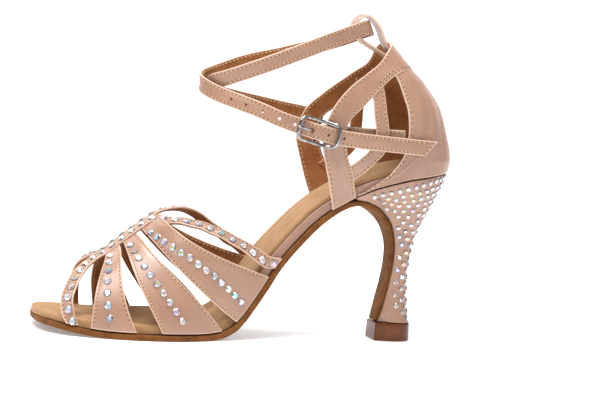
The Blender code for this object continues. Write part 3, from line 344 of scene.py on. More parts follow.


# %% [markdown]
# Every finish is built from two or three effects that several materials share. Each effect is a
# node group: threads of the satin, nap of the suede, and the mask of a painted highlight on a folded
# edge.
# A group only puts out values, and the shader stays in the material.

# %% Node groups
def new_group(name, inputs, outputs):
    group = bpy.data.node_groups.new(name, "ShaderNodeTree")
    for label, kind, value in inputs:
        socket = group.interface.new_socket(label, in_out="INPUT", socket_type=kind)
        if value is not None:
            socket.default_value = value
    for label, kind in outputs:
        group.interface.new_socket(label, in_out="OUTPUT", socket_type=kind)
    return group, group.nodes.new("NodeGroupInput"), group.nodes.new("NodeGroupOutput")


def math_node(tree, operation, first, second):
    node = tree.nodes.new("ShaderNodeMath")
    node.operation = operation
    for socket, value in zip(node.inputs, (first, second)):
        if isinstance(value, (int, float)):
            socket.default_value = value
        else:
            tree.links.new(value, socket)
    return node.outputs[0]


def noise_node(tree, vector, scale, detail, roughness=0.5):
    node = tree.nodes.new("ShaderNodeTexNoise")
    tree.links.new(vector, node.inputs["Vector"])
    if isinstance(scale, (int, float)):
        node.inputs["Scale"].default_value = scale
    else:
        tree.links.new(scale, node.inputs["Scale"])
    node.inputs["Detail"].default_value = detail
    node.inputs["Roughness"].default_value = roughness
    return node.outputs["Fac"]


def stretched(tree, vector, scale):
    node = tree.nodes.new("ShaderNodeMapping")
    node.inputs["Scale"].default_value = scale
    tree.links.new(vector, node.inputs["Vector"])
    return node.outputs["Vector"]


def make_thread_group():
    """Satin threads: long fine streaks along the cloth, with a slub here and there."""
    group, given, result = new_group(
        "satin_threads",
        (("Vector", "NodeSocketVector", None), ("Streak Depth", "NodeSocketFloat", 0.5)),
        (("Tone", "NodeSocketFloat"), ("Height", "NodeSocketFloat")),
    )
    fine = noise_node(group, stretched(group, given.outputs["Vector"], (0.9, 7.5, 7.5)), 1.0, 2.0)
    slub = noise_node(group, stretched(group, given.outputs["Vector"], (0.12, 1.3, 1.3)), 1.0, 2.0)
    both = math_node(group, "ADD", math_node(group, "MULTIPLY", fine, 0.65),
                     math_node(group, "MULTIPLY", slub, 0.35))
    group.links.new(both, result.inputs["Tone"])
    depth = math_node(group, "MULTIPLY", both, given.outputs["Streak Depth"])
    group.links.new(depth, result.inputs["Height"])
    return group


def make_nap_group():
    """Suede nap: short fibres that lie in patches, lighter or darker as they are brushed."""
    group, given, result = new_group(
        "suede_nap",
        (("Vector", "NodeSocketVector", None), ("Fibre Size", "NodeSocketFloat", 2200.0),
         ("Patch Size", "NodeSocketFloat", 160.0)),
        (("Tone", "NodeSocketFloat"), ("Height", "NodeSocketFloat")),
    )
    fibres = noise_node(group, given.outputs["Vector"], given.outputs["Fibre Size"], 4.0, 0.7)
    patches = noise_node(group, given.outputs["Vector"], given.outputs["Patch Size"], 3.0, 0.6)
    tone = math_node(group, "ADD", math_node(group, "MULTIPLY", fibres, 0.45),
                     math_node(group, "MULTIPLY", patches, 0.55))
    group.links.new(tone, result.inputs["Tone"])
    group.links.new(fibres, result.inputs["Height"])
    return group


def make_fold_highlight_group():
    """Painted highlight mask: 1 at the folded edge, falling to 0 at the given distance from it."""
    group, given, result = new_group(
        "fold_highlight_mask",
        (("Rim", "NodeSocketFloat", 5.0), ("Reach", "NodeSocketFloat", 0.9)),
        (("Fold Highlight", "NodeSocketFloat"),),
    )
    share = math_node(group, "DIVIDE", given.outputs["Rim"], given.outputs["Reach"])
    node = group.nodes.new("ShaderNodeMath")
    node.operation = "SUBTRACT"
    node.use_clamp = True
    node.inputs[0].default_value = 1.0
    group.links.new(share, node.inputs[1])
    group.links.new(node.outputs[0], result.inputs["Fold Highlight"])
    return group


THREADS = make_thread_group()
NAP = make_nap_group()
FOLD_HIGHLIGHT_GROUP = make_fold_highlight_group()

# %% [markdown]
# The satin is a flesh tone with a soft, wide highlight. Its colour runs from a warm shade between
# the threads to a pale one on them. Random darker patches are painted in as the satin's uneven
# sheen, and a painted highlight makes the folded edges a little lighter. The suede comes in two
# tones: a strong brown for lining and outsole, and a paler tan for the sock.

# %% Nodes that the materials share
def ramp_node(tree, factor, stops):
    node = tree.nodes.new("ShaderNodeValToRGB")
    tree.links.new(factor, node.inputs["Fac"])
    ramp = node.color_ramp
    while len(ramp.elements) < len(stops):
        ramp.elements.new(0.5)
    for element, (position, colour) in zip(ramp.elements, stops):
        element.position = position
        element.color = (*colour, 1.0)
    return node.outputs["Color"]


def grey_ramp(tree, factor, *stops):
    return ramp_node(tree, factor, [(position, (grey,) * 3) for position, grey in stops])


def mix_colours(tree, factor, first, second):
    node = tree.nodes.new("ShaderNodeMix")
    node.data_type = "RGBA"
    sockets = (node.inputs[0], node.inputs[6], node.inputs[7])
    for socket, value in zip(sockets, (factor, first, second)):
        if isinstance(value, (int, float)):
            socket.default_value = value
        elif isinstance(value, tuple):
            socket.default_value = (*value, 1.0)
        else:
            tree.links.new(value, socket)
    return node.outputs[2]


def bump_node(tree, height, distance, normal=None):
    node = tree.nodes.new("ShaderNodeBump")
    node.inputs["Strength"].default_value = 1.0
    node.inputs["Distance"].default_value = distance
    tree.links.new(height, node.inputs["Height"])
    if normal is not None:
        tree.links.new(normal, node.inputs["Normal"])
    return node.outputs["Normal"]


def new_material(name):
    made = bpy.data.materials.new(name)
    made.use_nodes = True
    tree = made.node_tree
    return made, tree, tree.nodes["Principled BSDF"]


def object_place(tree):
    return tree.nodes.new("ShaderNodeTexCoord").outputs["Object"]


def attribute_value(tree, name):
    node = tree.nodes.new("ShaderNodeAttribute")
    node.attribute_name = name
    return node.outputs["Fac"]


def group_node(tree, group, **values):
    node = tree.nodes.new("ShaderNodeGroup")
    node.node_tree = group
    for label, value in values.items():
        socket = node.inputs[label.replace("_", " ")]
        if isinstance(value, (int, float)):
            socket.default_value = value
        else:
            tree.links.new(value, socket)
    return node


# %% Satin, suede and sock
def make_satin(name, warm, pale, fold_highlight_tone, mapped=True):
    """Satin; mapped means that the piece has a UV map in millimetres and the rim attribute."""
    made, tree, shader = new_material(name)
    place = object_place(tree)
    if mapped:
        vector = tree.nodes.new("ShaderNodeUVMap").outputs["UV"]
    else:
        vector = stretched(tree, place, (900, 900, 900))
    threads = group_node(tree, THREADS, Vector=vector, Streak_Depth=1.0)
    colour = ramp_node(tree, threads.outputs["Tone"], ((0.32, warm), (0.66, pale)))
    # Painted sheen: random darker patches, some 20 mm across, stand in for the satin's uneven sheen.
    sheen_clouds = noise_node(tree, place, 52.0, 4.0)
    shade = tuple(value * 0.74 for value in warm)
    colour = mix_colours(tree, grey_ramp(tree, sheen_clouds, (0.35, 0.0), (0.75, 0.5)), colour, shade)
    if mapped:
        # Painted highlight: the folded edges are made lighter, as if they caught the light.
        fold_highlight = group_node(tree, FOLD_HIGHLIGHT_GROUP, Rim=attribute_value(tree, "rim"), Reach=0.75)
        colour = mix_colours(tree, fold_highlight.outputs["Fold Highlight"], colour, fold_highlight_tone)
    tree.links.new(colour, shader.inputs["Base Color"])
    gloss = grey_ramp(tree, threads.outputs["Tone"], (0.3, 0.45), (0.7, 0.33))
    tree.links.new(gloss, shader.inputs["Roughness"])
    shader.inputs["Sheen Weight"].default_value = 0.25
    shader.inputs["Sheen Roughness"].default_value = 0.35
    shader.inputs["Sheen Tint"].default_value = (1.0, 0.86, 0.78, 1.0)
    shader.inputs["Specular IOR Level"].default_value = 0.85
    soft = bump_node(tree, noise_node(tree, place, 240.0, 2.0), 0.10 * MM)
    weave = bump_node(tree, threads.outputs["Height"], 0.02 * MM, soft)
    tree.links.new(weave, shader.inputs["Normal"])
    return made


def make_suede(name, deep, light, sheen, patch=160.0, nap=0.12):
    made, tree, shader = new_material(name)
    place = object_place(tree)
    fibres = group_node(tree, NAP, Vector=place, Fibre_Size=1900.0, Patch_Size=patch)
    colour = ramp_node(tree, fibres.outputs["Tone"], ((0.30, deep), (0.70, light)))
    tree.links.new(colour, shader.inputs["Base Color"])
    shader.inputs["Roughness"].default_value = 0.92
    shader.inputs["Specular IOR Level"].default_value = 0.2
    shader.inputs["Sheen Weight"].default_value = sheen
    shader.inputs["Sheen Roughness"].default_value = 0.45
    shader.inputs["Sheen Tint"].default_value = (1.0, 0.80, 0.62, 1.0)
    tree.links.new(bump_node(tree, fibres.outputs["Height"], nap * MM), shader.inputs["Normal"])
    return made


WARM_SATIN = (0.305, 0.151, 0.093)
PALE_SATIN = (0.422, 0.247, 0.170)
# Colour of the painted highlight along the folded edges of the straps.
FOLD_HIGHLIGHT_SATIN = (0.66, 0.45, 0.35)
SATIN = make_satin("flesh_satin", WARM_SATIN, PALE_SATIN, FOLD_HIGHLIGHT_SATIN)
PLAIN_SATIN = make_satin("cover_satin", WARM_SATIN, PALE_SATIN, None, mapped=False)
LINING = make_suede("brown_lining", (0.20, 0.065, 0.018), (0.36, 0.150, 0.055), 0.25)
SOLE_SUEDE = make_suede("sole_suede", (0.070, 0.020, 0.004), (0.27, 0.106, 0.027), 0.08, 150.0, 0.3)
SOCK_SUEDE = make_suede("sock_suede", (0.27, 0.135, 0.056), (0.46, 0.275, 0.143), 0.18, 85.0)
print("materials:", sorted(made.name for made in bpy.data.materials))

# %% [markdown]
# The sole is one ribbon that everything else stands on. It is flat under the ball of the foot,
# climbs the shank, ends in the rounded seat, and its suede turns down the front of the heel. The
# table repeats the sizes of the model, so that the dressed pieces lie where the solids are.

# %% Sole line
SOLE_RUN = 184.0 * MM
SEAT_HEIGHT = 88.0 * MM
SEAT_BACK = 22.4 * MM
BALL_WIDTH = 70.5 * MM
SEAT_WIDTH = 45.0 * MM
TOE_SPRING = 3.6 * MM
OUTSOLE_THICKNESS = 3.0 * MM
BOARD_THICKNESS = 4.4 * MM
WALL = 1.5 * MM
CLEARANCE = 0.3 * MM
WALL_OFFSET = CLEARANCE + WALL / 2
FOOT_CLEARANCE = 2.5 * CLEARANCE
SEAT_SLOPE = 0.18

SOLE_ROWS = (
    # forward, rise, spring, width, lateral, medial
    (0.9995, 0.000, 1.00, "ball", 0.020, 0.120),
    (0.9940, 0.000, 1.00, "ball", 0.110, 0.220),
    (0.9780, 0.000, 0.95, "ball", 0.225, 0.310),
    (0.9480, 0.000, 0.76, "ball", 0.320, 0.375),
    (0.9000, 0.000, 0.38, "ball", 0.402, 0.425),
    (0.8400, 0.000, 0.10, "ball", 0.463, 0.462),
    (0.7600, 0.000, 0.00, "ball", 0.500, 0.492),
    (0.6800, 0.000, 0.00, "ball", 0.503, 0.505),
    (0.6100, 0.000, 0.00, "ball", 0.470, 0.500),
    (0.5620, 0.001, 0.00, "ball", 0.425, 0.470),
    (0.5160, 0.013, 0.00, "ball", 0.375, 0.425),
    (0.4850, 0.042, 0.00, "ball", 0.342, 0.385),
    (0.4600, 0.092, 0.00, "ball", 0.318, 0.350),
    (0.4345, 0.166, 0.00, "ball", 0.297, 0.320),
    (0.4020, 0.272, 0.00, "ball", 0.278, 0.292),
    (0.3710, 0.385, 0.00, "ball", 0.262, 0.268),
    (0.3340, 0.492, 0.00, "seat", 0.392, 0.394),
    (0.2980, 0.582, 0.00, "seat", 0.378, 0.378),
    (0.2620, 0.664, 0.00, "seat", 0.372, 0.370),
    (0.2250, 0.732, 0.00, "seat", 0.378, 0.374),
    (0.1900, 0.783, 0.00, "seat", 0.398, 0.390),
    (0.1576, 0.8235, 0.00, "seat", 0.423, 0.412),
    (0.1050, 0.8790, 0.00, "seat", 0.466, 0.455),
    (0.0500, 0.9190, 0.00, "seat", 0.494, 0.490),
    (0.0000, 0.9480, 0.00, "seat", 0.500, 0.500),
)
SEAT_ROWS = (
    # back, half
    (0.280, 0.477), (0.523, 0.414), (0.700, 0.331), (0.812, 0.247),
    (0.868, 0.184), (0.905, 0.125), (0.925, 0.070),
)


def sole_point(row):
    """One row of the sole: how far forward, how high, and both half widths."""
    forward, rise, spring, width, lateral, medial = row
    size = BALL_WIDTH if width == "ball" else SEAT_WIDTH
    height = OUTSOLE_THICKNESS + rise * (SEAT_HEIGHT - OUTSOLE_THICKNESS) + spring * TOE_SPRING
    return forward * SOLE_RUN, height, lateral * size, medial * size


def seat_point(row):
    """One row of the seat: how far back, how high, and both half widths."""
    reach = row[0] * SEAT_BACK
    front = sole_point(SOLE_ROWS[-1])
    return -reach, front[1] + reach * SEAT_SLOPE, row[1] * SEAT_WIDTH, row[1] * SEAT_WIDTH


def board_line(count):
    rows = [sole_point(row) for row in SOLE_ROWS] + [seat_point(row) for row in SEAT_ROWS]
    return smooth_line(rows, count)


BOARD_LINE = board_line(400)
SOLE_TABLE = BOARD_LINE[np.argsort(BOARD_LINE[:, 0])]


def sole_at(forward):
    """Height of the board's underside and its outer and inner half widths."""
    return [float(np.interp(forward, SOLE_TABLE[:, 0], SOLE_TABLE[:, k])) for k in (1, 2, 3)]


def foot_point(forward, lateral):
    """Where the middle of a strap's wall stands on the outsole, outside the board."""
    height, wide, narrow = sole_at(forward)
    side = wide + WALL_OFFSET if lateral else -(narrow + WALL_OFFSET)
    return np.array([forward, side, height + FOOT_CLEARANCE])


# %% Pieces rolled from a grid
def ribbon_grid(stations, section):
    """Points round each layer of the sole, in the plane across its line."""
    middle = stations[:, :2]
    tangent = tangents_of(middle)
    normal = np.stack([-tangent[:, 1], tangent[:, 0]], axis=1)
    normal *= np.sign(normal[0, 1])
    grid = []
    for k in range(len(stations)):
        ring = []
        for side, lift in section(k):
            x, z = middle[k] + normal[k] * lift
            ring.append((x, side, z))
        grid.append(ring)
    return np.array(grid)


def rounded(corners, radius, steps=3):
    """A closed outline of side and depth pairs, its corners turned with small arcs."""
    corners = np.array(corners, float)
    count = len(corners)
    outline = []
    for k in range(count):
        here, before, after = corners[k], corners[k - 1], corners[(k + 1) % count]
        to_before, to_after = before - here, after - here
        reach = min(radius, 0.45 * np.linalg.norm(to_before), 0.45 * np.linalg.norm(to_after))
        start = here + unit(to_before) * reach
        end = here + unit(to_after) * reach
        for t in np.linspace(0.0, 1.0, steps + 1):
            outline.append((1 - t) ** 2 * start + 2 * t * (1 - t) * here + t**2 * end)
    return outline


MERGE_DISTANCE = 0.004 * MM


def rolled_piece(name, grid, finish, closed=False):
    """A tube rolled from a bmesh grid: rows are its rings, and both ends are filled."""
    rows, columns = grid.shape[:2]
    spans = rows if closed else rows - 1
    bm = bmesh.new()
    bmesh.ops.create_grid(bm, x_segments=spans, y_segments=columns, size=0.5)
    for vert in bm.verts:
        i = round((vert.co.x + 0.5) * spans) % rows
        j = round((vert.co.y + 0.5) * columns) % columns
        vert.co = grid[i, j]
    bmesh.ops.remove_doubles(bm, verts=bm.verts, dist=MERGE_DISTANCE)
    if not closed:
        rims = [edge for edge in bm.edges if edge.is_boundary]
        bmesh.ops.holes_fill(bm, edges=rims, sides=0)
    bmesh.ops.recalc_face_normals(bm, faces=bm.faces)
    piece = finish_object(name, bm, finish)
    piece.data.set_sharp_from_angle(angle=SMOOTH_ANGLE)
    return piece


def forepart(forward, start, end):
    """0 behind the start, 1 before the end and a soft rise between, both as shares of the run."""
    t = np.clip((forward / SOLE_RUN - start) / (end - start), 0.0, 1.0)
    return t * t * (3 - 2 * t)


# %% [markdown]
# The outsole is thick suede with a raw, slightly wavy edge. It runs under the ball and the shank
# and then down the front of the heel as a flap. A little seeded noise moves the edge in and out by
# up to a few tenths of a millimetre, as a knife leaves it.

# %% Outsole
BREAST_ROWS = (
    # forward, height, half
    (0.1576, 0.8170, 0.400), (0.1300, 0.8120, 0.365), (0.1030, 0.7960, 0.315),
    (0.0760, 0.7690, 0.262), (0.0505, 0.7250, 0.212), (0.0326, 0.6740, 0.175),
    (0.0212, 0.6130, 0.148), (0.0152, 0.5450, 0.133), (0.0147, 0.4770, 0.127),
    (0.0180, 0.4020, 0.127), (0.0250, 0.3110, 0.130), (0.0337, 0.2270, 0.132),
    (0.0435, 0.1360, 0.118), (0.0475, 0.1085, 0.095),
)
OUTSOLE_MARGIN = CLEARANCE + WALL + CLEARANCE
OUTSOLE_SHARES = ((0.0, 0.12, 0.62, 0.80, 1.0), (0.92, 1.0, 1.0, 0.85, 0.65))
TIP_HEIGHT = 9.2 * MM
OUTSOLE_TOP = -0.1 * MM
EDGE_WAVER = 0.16 * MM


def make_outsole():
    """Ball, shank and flap as one ribbon, its thickness following OUTSOLE_SHARES."""
    chance = np.random.default_rng(4)
    front = [sole_point(row) for row in SOLE_ROWS if row[0] > 0.18]
    flap = [
        (forward * SOLE_RUN, height * SEAT_HEIGHT, half * SEAT_WIDTH - OUTSOLE_MARGIN,
         half * SEAT_WIDTH - OUTSOLE_MARGIN)
        for forward, height, half in BREAST_ROWS
    ]
    stations = smooth_line(front + flap[1:], 420)
    share = np.linspace(0.0, 1.0, len(stations))
    thickness = np.interp(share, *OUTSOLE_SHARES) * OUTSOLE_THICKNESS
    cuts = chance.normal(0.0, 1.0, (2, len(stations) + 8))
    waver = np.convolve(cuts.ravel(), np.ones(5) / 5, "same")
    waver = waver.reshape(2, -1)[:, :len(stations)] * EDGE_WAVER

    def section(k):
        lateral = stations[k, 2] + OUTSOLE_MARGIN + waver[0, k]
        medial = -(stations[k, 3] + OUTSOLE_MARGIN + waver[1, k])
        depth = thickness[k]
        top = OUTSOLE_TOP
        corners = ((lateral, top), (medial, top), (medial, -depth), (lateral, -depth))
        return rounded(corners, 0.8 * MM, 4)

    grid = ribbon_grid(stations, section)
    grid[-1, :, 2] = np.maximum(grid[-1, :, 2], TIP_HEIGHT + CLEARANCE)
    return rolled_piece("outsole_suede", grid, SOLE_SUEDE)


outsole = make_outsole()
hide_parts("outsole")
print("outsole faces:", len(outsole.data.polygons))

# %% [markdown]
# The insole board lies on the outsole, and its edge is covered in satin where it shows at the
# waist. The sock is a thin suede sheet on top. Over the forefoot it is padded and wraps the edge.

# %% Insole board and sock
BOARD_SHARES = ((0.38, 0.52, 0.90, 1.0), (1.0, 0.72, 0.50, 0.20))  # place, thickness
BOARD_FRONT = 0.975
SOCK_THICKNESS = 1.5 * MM
SOCK_RIM = 1.4 * MM
SOCK_INSET = 0.75 * MM
SOCK_CROWN = 0.3 * MM
SOCK_ROUND = (0.7, 0.9)  # radius of the edge in mm at the waist, and what the forefoot adds


def board_depth(forward):
    """Thickness of the board, which grows thinner towards the toe."""
    return BOARD_THICKNESS * float(np.interp(forward / SOLE_RUN, *BOARD_SHARES))


def make_board():
    """The board with its edge rounded, set back under the padded part of the sock."""
    stations = board_line(240)
    stations = stations[stations[:, 0] < BOARD_FRONT * SOLE_RUN]

    def section(k):
        inset = forepart(stations[k, 0], 0.385, 0.415) * (SOCK_INSET + SOCK_RIM + CLEARANCE)
        lateral = max(stations[k, 2] - inset, 1.0 * MM)
        medial = min(-(stations[k, 3] - inset), -1.0 * MM)
        top = CLEARANCE + board_depth(stations[k, 0])
        corners = ((lateral, CLEARANCE), (lateral, top), (medial, top), (medial, CLEARANCE))
        return rounded(corners, 0.55 * MM, 3)

    return rolled_piece("insole_board_cover", ribbon_grid(stations, section), PLAIN_SATIN)


def make_sock():
    """The sock: flat at the waist and seat, padded and round over the forefoot."""
    stations = board_line(300)

    def section(k):
        fore = forepart(stations[k, 0], 0.42, 0.45)
        inset = SOCK_INSET * (2.0 - fore)
        lateral, medial = stations[k, 2] - inset, -(stations[k, 3] - inset)
        board_top = CLEARANCE + board_depth(stations[k, 0])
        under = board_top + CLEARANCE * (2.0 - fore)
        rim_bottom = (board_top + CLEARANCE) * (1.0 - fore) + CLEARANCE * fore
        top = under + SOCK_THICKNESS
        half = (lateral - medial) / 2
        middle = (lateral + medial) / 2
        soft = min((SOCK_ROUND[0] + SOCK_ROUND[1] * fore) * MM, 0.3 * half)
        outline = []
        for sign in (1.0, -1.0):
            side = [(middle + sign * half, rim_bottom)]
            for angle in np.linspace(0.0, math.pi / 2, 6):
                side.append((middle + sign * (half - soft + soft * math.cos(angle)),
                             top - soft + soft * math.sin(angle)))
            for share in (0.75, 0.5, 0.25):
                crown = SOCK_CROWN * (1.0 - share**2)
                side.append((middle + sign * (half - soft) * share, top + crown))
            outline += side if sign > 0 else side[::-1]
        return outline

    return rolled_piece("sock_sheet", ribbon_grid(stations, section), SOCK_SUEDE)


board = make_board()
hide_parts("insole_board")
sock = make_sock()
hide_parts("sock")
print("sock spans:", [round(value / MM, 1) for value in sock.dimensions])

# %% [markdown]
# The heel block is covered in satin: square at the front, where the suede flap ends, and round at
# the back. It narrows to a waist and widens again to the tip.

# %% Heel block
HEEL_WAIST = 14.0 * MM
HEEL_BACK_ROWS = (
    # back, height, width, half
    (1.000, 0.9960, "seat", 0.5400), (0.930, 0.9350, "seat", 0.5050),
    (0.850, 0.8800, "seat", 0.4450), (0.750, 0.8180, "seat", 0.3650),
    (0.620, 0.7460, "seat", 0.2900), (0.500, 0.6760, "seat", 0.2250),
    (0.405, 0.6070, "waist", 0.5700), (0.350, 0.5450, "waist", 0.5150),
    (0.312, 0.4770, "waist", 0.5000), (0.290, 0.4020, "waist", 0.5050),
    (0.292, 0.3110, "waist", 0.5350), (0.322, 0.2270, "waist", 0.5800),
    (0.375, 0.1360, "waist", 0.6350), (0.415, 0.1085, "waist", 0.6500),
)
BREAST_CORNER = 1.15


def heel_ring(front, back, front_half, widest, side_steps=12, round_steps=20):
    """A D-shaped ring, from the outer front corner round the back to the inner one."""
    front, back = np.array(front), np.array(back)
    shares = []
    for t in np.linspace(0.0, 1.0, side_steps, endpoint=False):
        shares.append((0.5 * t, front_half + (widest - front_half) * math.sin(t * math.pi / 2)))
    for angle in np.linspace(0.0, math.pi / 2, round_steps, endpoint=False):
        shares.append((0.5 + 0.5 * math.sin(angle), widest * math.cos(angle)))
    ring = []
    for share, half in shares + [(1.0, 0.0)] + [(share, -half) for share, half in shares[::-1]]:
        x, z = front + (back - front) * share
        ring.append((x, half, z))
    return ring


def heel_grid(count):
    """Rings of the heel block, from the seat down to the tip."""
    rows = []
    for breast, rear in zip(BREAST_ROWS, HEEL_BACK_ROWS):
        forward, height, half = breast
        back, back_height, size, widest = rear
        width = SEAT_WIDTH if size == "seat" else HEEL_WAIST
        rows.append((
            forward * SOLE_RUN - CLEARANCE, height * SEAT_HEIGHT + CLEARANCE,
            -back * SEAT_BACK, back_height * SEAT_HEIGHT,
            half * SEAT_WIDTH * BREAST_CORNER, widest * width,
        ))
    levels = smooth_line(rows, count)
    grid = np.array([heel_ring(r[0:2], r[2:4], min(r[4], r[5]), r[5]) for r in levels])
    grid[0, :, 2] = [sole_at(x)[0] for x in grid[0, :, 0]]
    grid[-1, :, 2] = TIP_HEIGHT + CLEARANCE
    return grid


def make_heel():
    piece = rolled_piece("heel_cover", HEEL_GRID, PLAIN_SATIN)
    return round_edges(piece, 0.5 * MM, 50)


HEEL_GRID = heel_grid(90)
heel = make_heel()
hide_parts("heel_block")
print("heel cover faces:", len(heel.data.polygons))

# %% [markdown]
# Three fan straps cross the forefoot on each side. Each is one band from the inner side of the
# sole, over the ridge, to the outer side. In side view its two edges are curves through four
# places: on the sole, at two heights, and on the ridge. Across the foot it follows a quarter of an
# ellipse. Near each edge the grid is finer, so that the cloth can dip along the seam.

# %% Form of the vamp
RIDGE_HEIGHT = 58.8 * MM
RIDGE_SIDE = -2.0 * MM
RIDGE_ROWS = (
    # forward, height
    (0.650, 1.010), (0.674, 0.980), (0.691, 0.948), (0.716, 0.893), (0.734, 0.850),
    (0.761, 0.782), (0.788, 0.708), (0.815, 0.640), (0.842, 0.575), (0.870, 0.500),
)
FAN_LEVELS = (0.0, 0.35, 0.70, 1.0)
LATERAL_FANS = (
    # front edge: foot, low, high, ridge; back edge: foot, low, high, ridge
    (0.872, 0.866, 0.850, 0.815, 0.753, 0.783, 0.791, 0.780),
    (0.686, 0.727, 0.761, 0.772, 0.514, 0.595, 0.681, 0.739),
    (0.473, 0.579, 0.666, 0.726, 0.386, 0.528, 0.628, 0.674),
)
MEDIAL_FANS = (
    # front edge: foot, low, high, ridge; back edge: foot, low, high, ridge
    (0.806, 0.817, 0.824, 0.815, 0.690, 0.728, 0.760, 0.780),
    (0.638, 0.682, 0.740, 0.772, 0.492, 0.565, 0.660, 0.739),
    (0.452, 0.568, 0.655, 0.726, 0.372, 0.520, 0.612, 0.674),
)
RIDGE_TABLE = np.array(RIDGE_ROWS)
SEAM_INSET = 1.3 * MM


def ridge_height(forward):
    """Height of the ridge where the fans of both sides meet."""
    return float(np.interp(forward, RIDGE_TABLE[:, 0], RIDGE_TABLE[:, 1])) * RIDGE_HEIGHT


def bend_through(values, at):
    """Value at one of the shares between FAN_LEVELS on the curve through four values."""
    total = 0.0
    for k, value in enumerate(values):
        weight = 1.0
        for j, level in enumerate(FAN_LEVELS):
            if j != k:
                weight *= (at - level) / (FAN_LEVELS[k] - level)
        total += weight * value
    return total


def form_point(edge, along):
    """A point of the vamp, from the inner foot (-1) over the ridge (0) to the outer foot (1)."""
    foot = foot_point(edge[0] * SOLE_RUN, along > 0)
    angle = (1.0 - abs(along)) * math.pi / 2
    rise, spread = math.sin(angle), math.cos(angle)
    forward = bend_through(edge, rise) * SOLE_RUN
    side = foot_point(forward, along > 0)[1] * spread + RIDGE_SIDE * (1.0 - spread)
    return np.array([forward, side, foot[2] + (ridge_height(edge[3]) - foot[2]) * rise])


RIM_COLUMNS = (0.0, 0.45, 0.9, 1.3, 1.7, 2.2)  # mm from the edge
NARROWEST = 5.5 * MM


def edge_columns(width, middle=6):
    """Shares across a strap: close together at both edges and even between them."""
    near = np.array(RIM_COLUMNS) * MM / max(width, NARROWEST)
    inner = np.linspace(near[-1], 1.0 - near[-1], middle + 2)[1:-1]
    return np.concatenate([near, inner, (1.0 - near)[::-1]])


CROWN = 0.12 * MM
SEAM_DIP = 0.13 * MM
SEAM_DIP_WIDTH = 0.38 * MM
STITCH_PITCH = 2.15 * MM
CREASE_STRENGTH = 1.5


def dressed(surface, wall, crown=CROWN, creases=()):
    """A strap's outer face: half a wall out, crowned, dipped at its seams, with its creases."""
    across = surface.across
    width = surface.width[:, None]
    rim = np.minimum(across, width - across)
    share = across / width
    dip = np.exp(-((rim - SEAM_INSET) / SEAM_DIP_WIDTH) ** 2)
    pucker = 0.55 + 0.45 * np.cos(2 * math.pi * surface.along / STITCH_PITCH)[:, None]
    lift = wall / 2 + crown * 4 * share * (1 - share) - SEAM_DIP * dip * pucker
    for along, middle, lean, *sizes in creases:
        length, breadth, depth = (size * MM for size in sizes)
        reach = (surface.along[:, None] / surface.length - along) * surface.length
        off = ((share - middle) * width - reach * lean) / breadth
        lift = lift + CREASE_STRENGTH * depth * np.exp(-off**2) * np.exp(-(reach / length) ** 2)
    return surface.lifted(lift)


def fan_surface(number, rows=150):
    """The middle of one fan's wall, from its inner foot to its outer one."""
    points = []
    for along in np.linspace(-1.0, 1.0, rows):
        row = np.array((LATERAL_FANS if along > 0 else MEDIAL_FANS)[number])
        front, back = row[:4], row[4:]
        shares = edge_columns(np.linalg.norm(form_point(back, along) - form_point(front, along)))
        points.append([form_point(front + (back - front) * share, along) for share in shares])
    points = np.array(points)
    return Surface(points, (points[:, :, 0].mean(), RIDGE_SIDE, 0.0))


# %% [markdown]
# Creases are placed one by one. Each row of the table is one soft trough or ridge: where it lies
# along and across the strap, how far it leans, how long and how wide it is, and how deep. Fans pull
# a little where they dive under the edge straps and where they are tucked under the sole.

# %% Fan straps
FAN_CREASES = (
    # along, across, lean; length, width and depth in mm
    (
        (0.93, 0.30, 0.10, 9.0, 1.6, -0.16), (0.95, 0.70, -0.15, 7.0, 1.4, 0.14),
        (0.60, 0.50, 0.05, 12.0, 1.2, -0.12), (0.10, 0.45, 0.10, 9.0, 1.6, -0.15),
        (0.76, 0.22, 0.20, 10.0, 1.5, 0.12), (0.30, 0.62, -0.2, 12.0, 1.8, 0.12),
    ),
    (
        (0.95, 0.22, 0.25, 10.0, 2.0, -0.20), (0.93, 0.62, -0.10, 14.0, 2.4, 0.18),
        (0.62, 0.40, 0.02, 14.0, 1.2, -0.15), (0.66, 0.72, 0.05, 12.0, 1.1, 0.12),
        (0.80, 0.30, 0.12, 16.0, 2.2, -0.10), (0.12, 0.50, 0.15, 12.0, 2.2, -0.18),
    ),
    (
        (0.94, 0.45, -0.30, 12.0, 2.2, -0.20), (0.86, 0.75, -0.10, 15.0, 2.2, 0.16),
        (0.62, 0.45, 0.04, 15.0, 1.3, -0.16), (0.72, 0.25, 0.10, 14.0, 1.6, 0.12),
        (0.10, 0.50, 0.20, 12.0, 2.2, -0.18), (0.34, 0.35, 0.10, 14.0, 1.8, 0.12),
    ),
)
SATIN_SHARE = 0.72  # share of a strap's wall that is satin and its stiffening; suede is the rest
LINING_INSET = 0.35 * MM
LINING_OVERLAP = 0.12 * MM
DRESSED = {}


def lined_strap(name, surface, creases=(), wall=WALL, crown=CROWN, replaced=(), columns=9):
    """Satin outside with its edges folded in, and a suede lining that stops short of the edges."""
    outer = dressed(surface, wall, crown, creases)
    piece = cloth_piece(f"{name}_satin", outer, wall * SATIN_SHARE, SATIN)
    trimmed = []
    for points, across, width in zip(surface.points, surface.across, surface.width):
        inset = min(LINING_INSET, 0.2 * width)
        reach = np.linspace(inset, width - inset, columns)
        trimmed.append(np.stack([np.interp(reach, across, line) for line in points.T], axis=1))
    under = Surface(trimmed, (0, 0, 0)).facing(surface.normals[:, [len(surface.points[0]) // 2]])
    inner = under.lifted(-wall * (SATIN_SHARE - 0.5) + LINING_OVERLAP)
    lining = cloth_piece(f"{name}_lining", inner, wall * (1 - SATIN_SHARE) + LINING_OVERLAP,
                         LINING, LINING_OVERLAP)
    if replaced:
        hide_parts(*replaced)
    return piece, lining, outer


